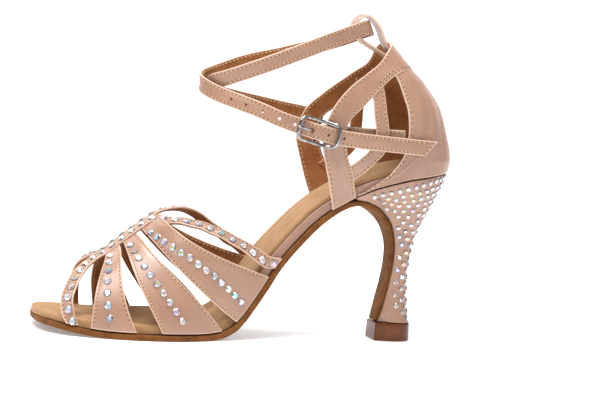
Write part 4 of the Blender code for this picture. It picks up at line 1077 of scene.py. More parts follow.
for number in range(3):
    made = lined_strap(f"fan_{number + 1}", fan_surface(number), FAN_CREASES[number],
                       replaced=("vamp",) if number == 0 else ())
    DRESSED[f"fan_{number + 1}"] = made[2]
    print("fan", number + 1, "length in mm:", round(made[2].length / MM, 1))

# %% [markdown]
# Two narrow edge straps lie over the fans. They run side by side along the ridge, then each goes
# its own way: forward to the toe and back to the waist, where it is tucked under the sole. The
# table holds the middle line of both.

# %% Edge straps
EDGE_STRAP_WIDTH = 6.4 * MM
EDGE_STRAP_LIFT = 0.95 * MM
EDGE_STRAP_SPACING = 3.6 * MM
EDGE_STRAP_END = 6.0 / 56.0  # share of the length over which an end turns to lie on the sole
NORMAL_LENGTH = 10 * MM
EDGE_LEANS = ((0.40, 0.65, 0.83, 0.93), (0.0, 0.25, 0.75, 0.55))  # place, lean to the front
EDGE_ROWS = (
    # lateral: forward, side, height; medial: forward, side, height
    (0.9185, "foot", 0.000, 0.8620, "foot", 0.000),
    (0.9300, 0.404, 0.187, 0.8660, 0.435, 0.187),
    (0.9315, 0.362, 0.292, 0.8680, 0.400, 0.292),
    (0.9175, 0.291, 0.396, 0.8690, 0.340, 0.396),
    (0.8980, 0.206, 0.482, 0.8680, 0.255, 0.482),
    (0.8740, 0.128, 0.546, 0.8620, 0.165, 0.555),
    (0.8480, 0.080, 0.600, 0.8470, 0.093, 0.606),
    (0.8150, "ridge", 0.000, 0.8150, "ridge", 0.000),
    (0.7850, "ridge", 0.000, 0.7850, "ridge", 0.000),
    (0.7550, "ridge", 0.000, 0.7550, "ridge", 0.000),
    (0.7250, "ridge", 0.000, 0.7250, "ridge", 0.000),
    (0.6950, "ridge", 0.000, 0.6980, "ridge", 0.000),
    (0.6500, 0.135, 0.952, 0.6680, 0.070, 1.005),
    (0.6210, 0.165, 0.958, 0.6350, 0.090, 1.030),
    (0.5970, 0.195, 0.945, 0.5950, 0.125, 1.028),
    (0.5700, 0.222, 0.932, 0.5580, 0.160, 0.985),
    (0.5420, 0.250, 0.900, 0.5250, 0.190, 0.915),
    (0.5150, 0.272, 0.873, 0.4850, 0.220, 0.838),
    (0.4870, 0.292, 0.828, 0.4560, 0.250, 0.775),
    (0.4560, 0.305, 0.782, 0.4280, 0.272, 0.735),
    (0.4240, 0.312, 0.722, 0.4060, 0.285, 0.690),
    (0.3920, 0.316, 0.665, 0.3860, 0.292, 0.655),
    (0.3630, "foot", 0.000, 0.3630, "foot", 0.000),
)


def ridge_place(forward, side):
    """A point on the fans near the ridge, and the outward normal there."""
    reach = 1.5 * MM
    sides = []
    for x, y in ((forward, side), (forward + reach, side), (forward, side + reach)):
        across = (y - RIDGE_SIDE) / (BALL_WIDTH / 2)
        sides.append(np.array([x, y, ridge_height(x / SOLE_RUN) * math.sqrt(1.0 - across**2)]))
    return sides[0], unit(np.cross(sides[1] - sides[0], sides[2] - sides[0]))


def edge_strap_rows(lateral):
    sign = 1.0 if lateral else -1.0
    rows = []
    for row in EDGE_ROWS:
        share, side, height = row[:3] if lateral else row[3:]
        forward = share * SOLE_RUN
        if side == "foot":
            normal = np.array([0.0, sign, 0.0])
            point = foot_point(forward, lateral) + normal * EDGE_STRAP_LIFT
        elif side == "ridge":
            point, normal = ridge_place(forward, RIDGE_SIDE + sign * EDGE_STRAP_SPACING)
            point = point + normal * EDGE_STRAP_LIFT
        else:
            out = RIDGE_SIDE + sign * side * BALL_WIDTH
            point = np.array([forward, out, height * RIDGE_HEIGHT])
            lean = np.interp(share, *EDGE_LEANS)
            radial = np.array([0.0, point[1] - RIDGE_SIDE, 0.6 * (point[2] - sole_at(forward)[0])])
            normal = unit(radial + np.array([lean * np.linalg.norm(radial), 0.0, 0.0]))
        rows.append(np.concatenate([point, normal * NORMAL_LENGTH]))
    return rows


def edge_strap_surface(lateral, rows=250):
    """The middle of an edge strap's wall; its ends turn so that they lie along the sole."""
    line = smooth_line(edge_strap_rows(lateral), rows)
    points, normal = line[:, :3], unit(line[:, 3:])
    across = unit(np.cross(normal, tangents_of(points)))
    grid = []
    for k, (point, direction) in enumerate(zip(points, across)):
        x = point[0]
        along_sole = np.array([2 * MM, 0.0, sole_at(x + MM)[0] - sole_at(x - MM)[0]])
        along_sole = unit(along_sole) * (1.0 if along_sole @ direction > 0 else -1.0)
        near_end = np.clip(1.0 - min(k, rows - 1 - k) / (rows * EDGE_STRAP_END), 0.0, 1.0)
        direction = unit(direction + (along_sole - direction) * near_end)
        shares = edge_columns(EDGE_STRAP_WIDTH, 2) - 0.5
        grid.append([point + direction * EDGE_STRAP_WIDTH * share for share in shares])
    return Surface(grid, (0.7 * SOLE_RUN, RIDGE_SIDE, 0.0)).facing(normal[:, None])


for side, lateral in (("outer", True), ("inner", False)):
    made = lined_strap(f"edge_strap_{side}", edge_strap_surface(lateral), crown=0.2 * MM)
    DRESSED[f"edge_{side}"] = made[2]
    print("edge strap", side, "length in mm:", round(made[2].length / MM, 1))

# %% [markdown]
# The heel part of the upper is the closed counter, the collar band that is sewn over its top edge
# and sweeps down to the sole on both sides, and a crescent strap inside each side. All of them
# follow one form, which a table gives level by level: how far back it reaches, how wide it is, and
# how deep its rounded back is. A cloth sheet over that form is smoother than one built from panels.

# %% Form of the heel part
COUNTER_HEIGHT = 139.0 * MM
COLLAR_HEIGHT = 151.5 * MM
COLLAR_WIDTH = SEAT_WIDTH + 6.0 * MM
COLLAR_LIFT = 0.7 * MM
COUNTER_CLEARANCE = 0.95 * MM
FORM_FRONT = 45.0 * MM
FORM_MERGE = 22.0 * MM
BACK_FREE = 0.20
BACK_BLEND = 0.155
QUARTER_ROWS = (
    # height, back, half, front, round
    (0.56, 0.98, 0.522, 0.535, 0.488), (0.62, 1.04, 0.54, 0.55, 0.495),
    (0.66, 0.995, 0.55, 0.562, 0.49), (0.706, 0.89, 0.555, 0.568, 0.48),
    (0.752, 0.79, 0.55, 0.562, 0.46), (0.792, 0.68, 0.535, 0.54, 0.43),
    (0.825, 0.528, 0.512, 0.512, 0.4), (0.851, 0.38, 0.49, 0.485, 0.375),
    (0.878, 0.236, 0.468, 0.455, 0.35), (0.913, -0.04, 0.428, 0.425, 0.32),
    (0.931, -0.128, 0.41, 0.405, 0.3), (0.957, -0.315, 0.385, 0.38, 0.27),
    (1.0, -0.59, 0.345, 0.34, 0.23),
)


def table_value(rows, at, column):
    table = np.array(rows, float)
    table = table[np.argsort(table[:, 0])]
    return float(np.interp(at, table[:, 0], table[:, column]))


def quarter_form(height):
    """Back, greatest half width, half width at FORM_FRONT and round depth at one height."""
    at = height / COLLAR_HEIGHT
    back, half, front, depth = (table_value(QUARTER_ROWS, at, k) for k in (1, 2, 3, 4))
    return -back * SEAT_BACK, half * SEAT_WIDTH, front * SEAT_WIDTH, depth * SEAT_WIDTH


def quarter_side(x, z, lateral):
    """How far out the wall stands at a place in side view."""
    back, half, front, depth = quarter_form(z)
    if x < back + depth:
        side = half * math.sin(math.acos(np.clip(1.0 - (x - back) / depth, 0.0, 1.0)))
    else:
        side = half + (front - half) * (x - back - depth) / (FORM_FRONT - back - depth)
    sole, wide, narrow = sole_at(x)
    low = np.clip(1.0 - (z - sole) / FORM_MERGE, 0.0, 1.0) ** 1.6
    ahead = np.clip(x / FORM_FRONT * 3, 0.0, 1.0)
    edge = (wide if lateral else narrow) + WALL_OFFSET
    return side + (edge - side) * low * ahead


def resampled(line, shares):
    """Points at shares of the length of a line."""
    line = np.asarray(line, float)
    reach = np.concatenate([[0.0], np.cumsum(np.linalg.norm(np.diff(line, axis=0), axis=1))])
    at = np.asarray(shares) * reach[-1]
    return np.stack([np.interp(at, reach, line[:, axis]) for axis in range(3)], axis=1)


# %% Heel counter
ROUND_SHARE = 0.6  # share of the points on one side that go round its back
COUNTER_ROWS = (
    # rise, forward, height
    (0.0, 0.154, 0.528), (0.12, 0.126, 0.55), (0.225, 0.086, 0.59), (0.333, 0.06, 0.631),
    (0.43, 0.039, 0.681), (0.55, 0.0305, 0.765), (0.667, 0.036, 0.8475), (0.784, 0.048, 0.896),
    (0.892, 0.062, 0.946), (1.0, 0.079, 0.989),
)
COUNTER_CREASES = (
    # along, across, lean; length, width and depth in mm
    (0.55, 0.86, -0.25, 17.0, 2.6, -0.30), (0.62, 0.79, -0.10, 20.0, 3.4, 0.26),
    (0.45, 0.72, 0.10, 24.0, 3.0, -0.24), (0.30, 0.90, -0.60, 12.0, 2.2, 0.20),
    (0.50, 0.63, 0.05, 22.0, 3.2, 0.16), (0.20, 0.77, 0.45, 11.0, 2.8, -0.18),
    (0.55, 0.14, 0.25, 17.0, 2.6, -0.28), (0.60, 0.22, 0.10, 20.0, 3.4, 0.24),
    (0.42, 0.30, -0.1, 24.0, 3.0, -0.22), (0.72, 0.45, 0.05, 16.0, 3.0, -0.14),
)


def counter_level(row, steps=90):
    """One level of the counter, from its inner front edge round the back to the outer one."""
    rise, forward, height = row
    seat_back = seat_point(SEAT_ROWS[-1])[1] + COUNTER_CLEARANCE
    back_z = seat_back + rise * (COUNTER_HEIGHT - seat_back)
    front_x, front_z = forward * SOLE_RUN, height * COUNTER_HEIGHT
    back_x = quarter_form(back_z)[0]
    first_x = COUNTER_ROWS[0][1] * SOLE_RUN
    first_z = sole_at(first_x)[0] + COUNTER_CLEARANCE
    front_z += (first_z - COUNTER_ROWS[0][2] * COUNTER_HEIGHT) * (1.0 - rise) ** 3
    round_depth = min(quarter_form(back_z)[3], 0.92 * (front_x - back_x))
    sides = {True: [], False: []}
    for t in np.linspace(0.0, 1.0, steps):
        bend = min(t / ROUND_SHARE, 1.0) * math.pi / 2
        reach = round_depth * (1.0 - math.cos(bend))
        if t > ROUND_SHARE:
            ahead = (t - ROUND_SHARE) / (1.0 - ROUND_SHARE)
            reach += (front_x - back_x - round_depth) * ahead
        x = back_x + reach
        z = back_z + (front_z - back_z) * reach / (front_x - back_x)
        chord = seat_back + (first_z - seat_back) * (x - back_x) / (first_x - back_x)
        z += (sole_at(x)[0] + COUNTER_CLEARANCE - chord) * (1.0 - rise) ** 3
        x += (quarter_form(z)[0] - back_x) * (1.0 - reach / (front_x - back_x))
        for lateral in (True, False):
            sides[lateral].append((x, quarter_side(x, z, lateral) * (1 if lateral else -1), z))
    back = sides[True][0]
    sides[True][0] = (back[0], 0.0, back[2])
    return sides[False][:0:-1] + sides[True]


def counter_surface(rows=64):
    """The middle of the counter's wall, level by level."""
    points = []
    for row in smooth_line(COUNTER_ROWS, rows):
        line = np.array(counter_level(row))
        width = np.linalg.norm(np.diff(line, axis=0), axis=1).sum()
        points.append(resampled(line, edge_columns(width, 90)))
    return Surface(points, (0.02, 0.0, 0.11))


made = lined_strap("counter", counter_surface(), COUNTER_CREASES, crown=0.0,
                   replaced=("quarter",), columns=70)
DRESSED["counter"] = made[2]
print("counter height in mm:", round(made[2].length / MM, 1))

# %% Collar band and crescents
COLLAR_ROWS = (
    # front: forward, height; rear: forward, height; set back
    (0.0725, 0.998, 0.006, 0.908, 0.0), (0.08, 0.988, 0.018, 0.91, 0.01),
    (0.095, 0.97, 0.04, 0.911, 0.055), (0.117, 0.932, 0.07, 0.896, 0.105),
    (0.1576, 0.89, 0.108, 0.856, 0.105), (0.2, 0.848, 0.142, 0.812, 0.105),
    (0.23, 0.808, 0.17, 0.776, 0.075), (0.257, 0.756, 0.198, 0.74, 0.025),
    (0.2717, 0.69, 0.21, 0.698, 0.0), (0.2717, 0.649, 0.204, 0.65, 0.0),
    (0.263, 0.607, 0.1957, 0.612, 0.0), (0.248, 0.545, 0.18, 0.57, 0.0),
    (0.234, 0.488, 0.168, 0.52, 0.0),
)
CRESCENT_WALL = 1.35 * MM
COLLAR_TOP = (1.000, 0.906)
COLLAR_FOOT = (0.2210, 0.1600)
CRESCENT_ROWS = (
    # front: forward, height; rear: forward, height; set back
    (0.15, 0.872, 0.112, 0.88, 0.11), (0.138, 0.818, 0.104, 0.838, 0.1),
    (0.132, 0.755, 0.096, 0.772, 0.045), (0.1235, 0.7, 0.0868, 0.704, 0.01),
    (0.1375, 0.646, 0.0946, 0.638, 0.0), (0.163, 0.613, 0.12, 0.6, 0.0),
    (0.186, 0.591, 0.147, 0.566, 0.0), (0.206, 0.573, 0.174, 0.54, 0.0),
)
COLLAR_CREASES = (
    # along, across, lean; length, width and depth in mm
    (0.86, 0.55, -0.10, 10.0, 1.8, -0.20), (0.90, 0.30, 0.20, 12.0, 2.0, 0.18),
    (0.74, 0.40, 0.30, 12.0, 2.0, -0.16), (0.66, 0.60, -0.2, 12.0, 2.0, 0.14),
    (0.96, 0.62, -0.25, 10.0, 2.2, 0.18), (0.14, 0.55, 0.10, 10.0, 1.8, -0.20),
    (0.26, 0.40, -0.3, 12.0, 2.0, -0.16), (0.08, 0.40, 0.20, 12.0, 2.0, 0.16),
)


def on_form(forward, height, sign, lift):
    """A place on one side of the heel part's form, lifted outwards."""
    return forward, sign * (quarter_side(forward, height, sign > 0) + lift), height


def band_edges(rows, sign, lift):
    """Front and rear edge of a band on one side, from the top of its table down."""
    front, rear = [], []
    for row in rows:
        back = row[4] * COLLAR_WIDTH if sign < 0 else 0.0
        front.append(on_form(row[0] * SOLE_RUN - back, row[1] * COLLAR_HEIGHT, sign, lift))
        rear.append(on_form(row[2] * SOLE_RUN - back, row[3] * COLLAR_HEIGHT, sign, lift))
    return front, rear


def collar_edges():
    """Front and rear edge of the band, from its inner foot round the back to the outer one."""
    joined = ([], [])
    for sign in (-1.0, 1.0):
        sides = band_edges(COLLAR_ROWS, sign, COLLAR_LIFT)
        for which, share in enumerate(COLLAR_FOOT):
            edge = sides[which] + [tuple(foot_point(share * SOLE_RUN, sign > 0))]
            z = COLLAR_TOP[which] * COLLAR_HEIGHT
            top = [(quarter_form(z)[0] - COLLAR_LIFT, 0.0, z)]
            joined[which].extend(edge[::-1] + top if sign < 0 else edge)
    return joined


def band_surface(front, rear, rows, lift, middle):
    """A band between two edges, brought on to the form except near the middle of the back."""
    pairs = smooth_line(np.hstack([front, rear]), rows)
    points = []
    for pair in pairs:
        across = pair[3:] - pair[:3]
        shares = edge_columns(np.linalg.norm(across), middle)
        points.append([pair[:3] + across * share for share in shares])
    points = np.array(points)
    for point in points.reshape(-1, 3):
        sign = 1.0 if point[1] > 0 else -1.0
        target = sign * (quarter_side(point[0], point[2], sign > 0) + lift)
        trust = np.clip((abs(point[1]) / SEAT_WIDTH - BACK_FREE) / BACK_BLEND, 0.0, 1.0)
        point[1] += (target - point[1]) * trust
        point[2] = max(point[2], sole_at(point[0])[0] + FOOT_CLEARANCE)
    return Surface(points, (0.02, 0.0, 0.12))


collar = band_surface(*collar_edges(), 330, COLLAR_LIFT, 8)
made = lined_strap("collar", collar, COLLAR_CREASES, crown=0.15 * MM, columns=13)
DRESSED["collar"] = made[2]
print("collar length in mm:", round(made[2].length / MM, 1))
for side, sign in (("outer", 1.0), ("inner", -1.0)):
    crescent = band_surface(*band_edges(CRESCENT_ROWS, sign, 0.0), 90, 0.0, 4)
    made = lined_strap(f"crescent_{side}", crescent, wall=CRESCENT_WALL)
    DRESSED[f"crescent_{side}"] = made[2]

# %% [markdown]
# One long strap closes the shoe. It is sewn inside the inner band, goes round the front of the
# ankle, back through the loop, round the front again and through the buckle, and ends in a slanted
# tip. It is modelled as one flat band, because its width never changes. Its holes are punched
# after its wall is there, by a boolean with small cylinders.

# %% Ankle strap
STRAP_WIDTH = 7.8 * MM
STRAP_THICKNESS = 1.5 * MM
STEER = 10.0 * MM
TAIL_CUT = 0.75
TAIL_LENGTH = 7.0 * MM
ROUTE_ROWS = (
    # forward, side, height, lean
    (0.196, -0.545, 0.729, -8), (0.25, -0.552, 0.738, -8), (0.31, -0.532, 0.748, -9),
    (0.391, -0.462, 0.764, -9), (0.467, -0.345, 0.779, -8), (0.52, -0.19, 0.793, -5),
    (0.553, -0.075, 0.81, 0), (0.561, 0.0, 0.821, 5), (0.554, 0.085, 0.833, 12),
    (0.528, 0.19, 0.848, 20), (0.446, 0.27, 0.89, 23), (0.337, 0.262, 0.946, 23),
    (0.23, 0.19, 1.001, 23), (0.164, 0.13, 1.032, 23),
    (0.14, 0.092, 1.042, 23), (0.127, 0.05, 1.043, 23), (0.1215, 0.0, 1.041, 23),
    (0.127, -0.05, 1.037, 23), (0.14, -0.092, 1.029, 23), (0.164, -0.135, 1.014, 23),
    (0.23, -0.205, 0.981, 22), (0.337, -0.29, 0.936, 20), (0.446, -0.305, 0.899, 18),
    (0.526, -0.25, 0.862, 16), (0.572, -0.13, 0.84, 6), (0.584, 0.0, 0.825, 0),
    (0.573, 0.115, 0.81, -8),
    (0.543, 0.24, 0.792, -18), (0.5, 0.37, 0.774, -20), (0.451, 0.47, 0.755, -20),
    (0.399, 0.54, 0.731, -19), (0.346, 0.582, 0.712, -17), (0.291, 0.597, 0.695, -15),
    (0.239, 0.592, 0.683, -10), (0.185, 0.578, 0.676, -6), (0.109, 0.556, 0.67, -5),
    (0.033, 0.545, 0.6655, -4), (-0.033, 0.532, 0.6615, -4),
)
STRAP_CREASES = (
    # along, across, lean; length, width and depth in mm
    (0.30, 0.5, 0.10, 16.0, 1.4, -0.10), (0.36, 0.4, -0.1, 18.0, 1.5, 0.10),
    (0.66, 0.6, 0.06, 16.0, 1.4, -0.10), (0.74, 0.4, 0.02, 14.0, 1.4, 0.10),
)


def route(count):
    """Points of the strap's middle line and how far it leans there."""
    rows = [
        (forward * SOLE_RUN, side * COLLAR_WIDTH, height * COLLAR_HEIGHT,
         math.radians(lean) * STEER)
        for forward, side, height, lean in ROUTE_ROWS
    ]
    points = smooth_line(rows, count)
    return points[:, :3], points[:, 3] / STEER


def strap_frames(line, lean):
    """Direction, width direction and outward normal along the ankle strap."""
    tangent = tangents_of(line)
    up = np.stack([np.sin(lean), np.zeros(len(line)), np.cos(lean)], axis=1)
    up = unit(up - tangent * np.sum(up * tangent, axis=1, keepdims=True))
    return tangent, up, np.cross(tangent, up)


def strap_surface(rows=560):
    """The middle of the ankle strap's wall, with the slanted tip at its last end."""
    line, lean = route(rows)
    tangent, up, normal = strap_frames(line, lean)
    step = np.linalg.norm(np.diff(line, axis=0), axis=1).mean()
    points = []
    for k in range(rows):
        near_tip = np.clip(1.0 - (rows - 1 - k) * step / TAIL_LENGTH, 0.0, 1.0)
        row = []
        for share in edge_columns(STRAP_WIDTH, 3):
            slant = tangent[k] * STRAP_WIDTH * TAIL_CUT * (0.5 - share) * near_tip
            row.append(line[k] + up[k] * STRAP_WIDTH * (0.5 - share) + slant)
        points.append(row)
    return Surface(points, (0, 0, 0)).facing(normal[:, None])


# %% Place of the buckle, and the strap's holes
HOLE_RADIUS = 0.75 * MM
HOLE_PITCH = 8.6 * MM
PRONG_HOLE_RADIUS = 1.3 * MM
BUCKLE_STATION = 0.2910
BUCKLE_LENGTH = 22.5 * MM
BUCKLE_WIRE = 1.9 * MM
HALF_LENGTH = (BUCKLE_LENGTH - BUCKLE_WIRE) / 2
PRONG_AT = 0.36
ROUTE_STEPS = 600


def buckle_axes():
    """Centre, direction towards the front, width direction and outward normal at the buckle."""
    line, lean = route(ROUTE_STEPS)
    tangent, up, normal = strap_frames(line, lean)
    station = BUCKLE_STATION * SOLE_RUN
    k = [k for k in range(ROUTE_STEPS // 2, ROUTE_STEPS) if line[k, 0] >= station][-1]
    out = normal[k] if normal[k][1] > 0 else -normal[k]
    return line[k], -tangent[k], up[k], out, k


def hole_places():
    """Point, normal and radius of each hole; the one that the prong is in is hole 0."""
    line, lean = route(ROUTE_STEPS)
    normal = strap_frames(line, lean)[2]
    step = float(np.linalg.norm(np.diff(line, axis=0), axis=1).mean())
    prong = buckle_axes()[4] - round(PRONG_AT * HALF_LENGTH / step)
    for hole in range(-2, 6):
        k = prong - round(hole * HOLE_PITCH / step)
        yield Vector(line[k]), Vector(normal[k]), PRONG_HOLE_RADIUS if hole == 0 else HOLE_RADIUS


def punch(piece, cutter_mesh, finish):
    """Takes the cutters' shapes out of a piece; the cut walls get this finish."""
    cutter_mesh.materials.append(finish)
    cutter = added("cutter", cutter_mesh)
    cut = piece.modifiers.new("holes", "BOOLEAN")
    cut.operation = "DIFFERENCE"
    cut.object = cutter
    cut.solver = "EXACT"
    cut.material_mode = "TRANSFER"
    bpy.context.view_layer.update()
    finished = piece.evaluated_get(bpy.context.evaluated_depsgraph_get())
    mesh = bpy.data.meshes.new_from_object(finished)
    piece.modifiers.clear()
    old = piece.data
    piece.data = mesh
    bpy.data.meshes.remove(old)
    bpy.data.objects.remove(cutter)


def hole_drills():
    """One cylinder for each hole of the strap."""
    bm = bmesh.new()
    for point, normal, radius in hole_places():
        turn = normal.to_track_quat("Z", "Y").to_matrix().to_4x4()
        turn.translation = point
        bmesh.ops.create_cone(bm, cap_ends=True, segments=20, radius1=radius, radius2=radius,
                              depth=4 * STRAP_THICKNESS, matrix=turn)
    return mesh_of("drills", bm)


strap, strap_lining, outer = lined_strap("ankle_strap", strap_surface(), STRAP_CREASES,
                                         STRAP_THICKNESS, replaced=("ankle_strap",), columns=7)
DRESSED["ankle_strap"] = outer
punch(strap, hole_drills(), LINING)
punch(strap_lining, hole_drills(), LINING)
print("ankle strap length in mm:", round(outer.length / MM))

# %% Tab that carries the buckle, and loop at the back
TAB_THICKNESS = 1.1 * MM
BAR_DEPTH = 3.5 * MM
BAR_RADIUS = 0.45 * BUCKLE_WIRE
PRONG_WIRE = 1.2 * MM
LOOP_WIDTH = 9.0 * MM
LOOP_THICKNESS = 1.2 * MM
SLOT_FORWARD = 2.5 * MM
TAB_ROWS = (
    # forward, side, height
    (0.038, 0.462, 0.69), (0.109, 0.433, 0.69), (0.185, 0.446, 0.691), (0.245, 0.453, 0.693),
    (0.269, 0.466, 0.694),
)
LOOP_ROWS = (
    # forward, height
    (0.0522, 0.9558), (0.0761, 0.9888), (0.0859, 1.0112), (0.0935, 1.0337), (0.1033, 1.0528),
    (0.1141, 1.0667), (0.1266, 1.0785), (0.1413, 1.0825), (0.1549, 1.0746), (0.1663, 1.0568),
    (0.1658, 1.0323), (0.15, 1.0033), (0.1212, 0.9835), (0.0967, 0.969), (0.0772, 0.9564),
    (0.0647, 0.9459),
)


def tab_surface(rows=120):
    """The middle of the tab's wall, from the counter to its turn round the centre bar."""
    centre, ahead, up, out, _ = buckle_axes()
    bar = centre - out * BAR_DEPTH
    turn = BAR_RADIUS + CLEARANCE + TAB_THICKNESS / 2
    rows_of_line = [
        (forward * SOLE_RUN, side * COLLAR_WIDTH, height * COLLAR_HEIGHT)
        for forward, side, height in TAB_ROWS
    ]
    for degrees in (250, 300, 350, 40, 90, 140):
        angle = math.radians(degrees)
        round_bar = ahead * turn * math.cos(angle) + out * turn * math.sin(angle)
        rows_of_line.append(tuple(bar + round_bar))
    line = smooth_line(rows_of_line, rows)
    tangent = tangents_of(line)
    width = np.tile(up, (rows, 1))
    width = unit(width - tangent * np.sum(width * tangent, axis=1, keepdims=True))
    shares = edge_columns(STRAP_WIDTH, 3)
    points = line[:, None] + width[:, None] * STRAP_WIDTH * (0.5 - shares)[None, :, None]
    return Surface(points, (0, 0, 0)).facing(out, slice(rows // 3))


def slot_block():
    """The block that cuts the prong's slot into the tab."""
    centre, ahead, up, out, _ = buckle_axes()
    middle = centre - out * BAR_DEPTH + ahead * SLOT_FORWARD
    bm = bmesh.new()
    bmesh.ops.create_cube(bm, size=1.0)
    size = (3 * BAR_DEPTH, PRONG_WIRE + 4 * CLEARANCE, 3 * BAR_DEPTH)
    for vert in bm.verts:
        t, w, n = (share * length for share, length in zip(vert.co, size))
        vert.co = Vector(middle + ahead * t + up * w + out * n)
    bmesh.ops.recalc_face_normals(bm, faces=bm.faces)
    return mesh_of("slot", bm)


def loop_surface(rows=90):
    """The middle of the loop's wall, up from the collar, over the strap and down again."""
    places = [(forward * SOLE_RUN, 0.0, height * COLLAR_HEIGHT) for forward, height in LOOP_ROWS]
    line = smooth_line(places, rows)
    shares = edge_columns(LOOP_WIDTH, 4)
    points = line[:, None] + np.array([0.0, LOOP_WIDTH, 0.0]) * (shares - 0.5)[None, :, None]
    return Surface(points, (0.135 * SOLE_RUN, 0.0, 1.02 * COLLAR_HEIGHT))


for name, surface, wall, node in (
    ("tab", tab_surface(), TAB_THICKNESS, "buckle_tab"),
    ("loop", loop_surface(), LOOP_THICKNESS, "back_loop"),
):
    outer = dressed(surface, wall, 0.1 * MM)
    piece = cloth_piece(f"{name}_satin", outer, wall, SATIN, 0.3 * MM)
    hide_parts(node)
    DRESSED[name] = outer
    if name == "tab":
        punch(piece, slot_block(), LINING)
    print(name, "length in mm:", round(outer.length / MM, 1))

# %% [markdown]
# The buckle is a rounded frame of bent wire with flattened, bright faces. The path of the wire is
# the same as in the solid: cambered, so that its end bars lie over the strap and its centre bar
# under it. A ring of points is carried along the path. The prong turns on the centre bar, comes
# up through the strap's hole and rests on the front bar.

# %% Nickel
def make_nickel():
    made, tree, shader = new_material("bright_nickel")
    place = object_place(tree)
    cloud = noise_node(tree, place, 420.0, 3.0)
    metal = ramp_node(tree, cloud, ((0.35, (0.20, 0.20, 0.20)), (0.65, (0.44, 0.43, 0.42))))
    tree.links.new(metal, shader.inputs["Base Color"])
    gloss = grey_ramp(tree, cloud, (0.3, 0.20), (0.7, 0.12))
    tree.links.new(gloss, shader.inputs["Roughness"])
    shader.inputs["Metallic"].default_value = 1.0
    fine = noise_node(tree, stretched(tree, place, (900, 900, 5200)), 1.0, 2.0)
    tree.links.new(bump_node(tree, fine, 0.006 * MM), shader.inputs["Normal"])
    return made


NICKEL = make_nickel()

# %% Buckle and prong
BUCKLE_HEIGHT = 13.4 * MM
BUCKLE_CORNER = 3.4 * MM
HALF_HEIGHT = (BUCKLE_HEIGHT - BUCKLE_WIRE) / 2
WIRE_SIDES = 24
PRONG_END = 6  # rings over which each end of the prong is rounded
END_BAR_GAP = CLEARANCE + 0.4 * MM
END_LIFT = (STRAP_THICKNESS + BUCKLE_WIRE) / 2 + END_BAR_GAP
SIDE_LIFT = -0.45 * BAR_DEPTH
BAR_ROWS = (
    # share of the half height, depth under the strap
    (0.96, 0.45), (0.86, 0.80), (0.66, 1.00), (0.0, 1.00),
    (-0.66, 1.00), (-0.86, 0.80), (-0.96, 0.45),
)


def wire_grid(path, radius, first, second, flat=0.0):
    """Rings round a path; flat presses the wire towards a cushion shape."""
    angles = np.linspace(0.0, 2 * math.pi, WIRE_SIDES, endpoint=False)
    rings = []
    for k in range(len(path)):
        ring = []
        for angle in angles:
            c, s = math.cos(angle), math.sin(angle)
            square = max(abs(c), abs(s))
            reach = radius * ((1 - flat) + flat * min(0.86 / square, 1.0))
            ring.append(path[k] + (first[k] * c + second[k] * s) * reach)
        rings.append(ring)
    return np.array(rings)


def frame_path(corner_steps=16, side_steps=10):
    """The wire's middle line: a rounded oblong, bent so that its ends lie over the strap."""
    centre, ahead, up, out, _ = buckle_axes()
    straight = HALF_LENGTH - BUCKLE_CORNER
    path = []
    for cx, cy, start in ((1, 1, 0), (-1, 1, 90), (-1, -1, 180), (1, -1, 270)):
        for angle in np.radians(np.linspace(start, start + 90, corner_steps)):
            path.append((cx * straight + BUCKLE_CORNER * math.cos(angle),
                         cy * (HALF_HEIGHT - BUCKLE_CORNER) + BUCKLE_CORNER * math.sin(angle)))
        if cx == cy:
            for share in np.linspace(1.0, -1.0, side_steps + 2)[1:-1]:
                path.append((cx * share * straight, cy * HALF_HEIGHT))
    line = []
    for t, w in path:
        lift = SIDE_LIFT + (END_LIFT - SIDE_LIFT) * (t / HALF_LENGTH) ** 2
        line.append(centre + ahead * t + up * w + out * lift)
    return np.array(line)


def make_buckle():
    """The frame's wire and the centre bar; the frame is returned."""
    centre, ahead, up, out, _ = buckle_axes()
    path = frame_path()
    tangent = unit(np.roll(path, -1, axis=0) - np.roll(path, 1, axis=0))
    first = unit(out - tangent * (tangent @ out)[:, None])
    grid = wire_grid(path, BUCKLE_WIRE / 2, first, np.cross(tangent, first), 0.8)
    frame_piece = rolled_piece("frame_wire", grid, NICKEL, closed=True)
    rows = [centre + up * w * HALF_HEIGHT - out * depth * BAR_DEPTH for w, depth in BAR_ROWS]
    bar = smooth_line(rows, 40)
    tangent = tangents_of(bar)
    first = unit(ahead - tangent * (tangent @ ahead)[:, None])
    grid = wire_grid(bar, BAR_RADIUS, first, np.cross(tangent, first))
    rolled_piece("frame_bar", grid, NICKEL)
    return frame_piece


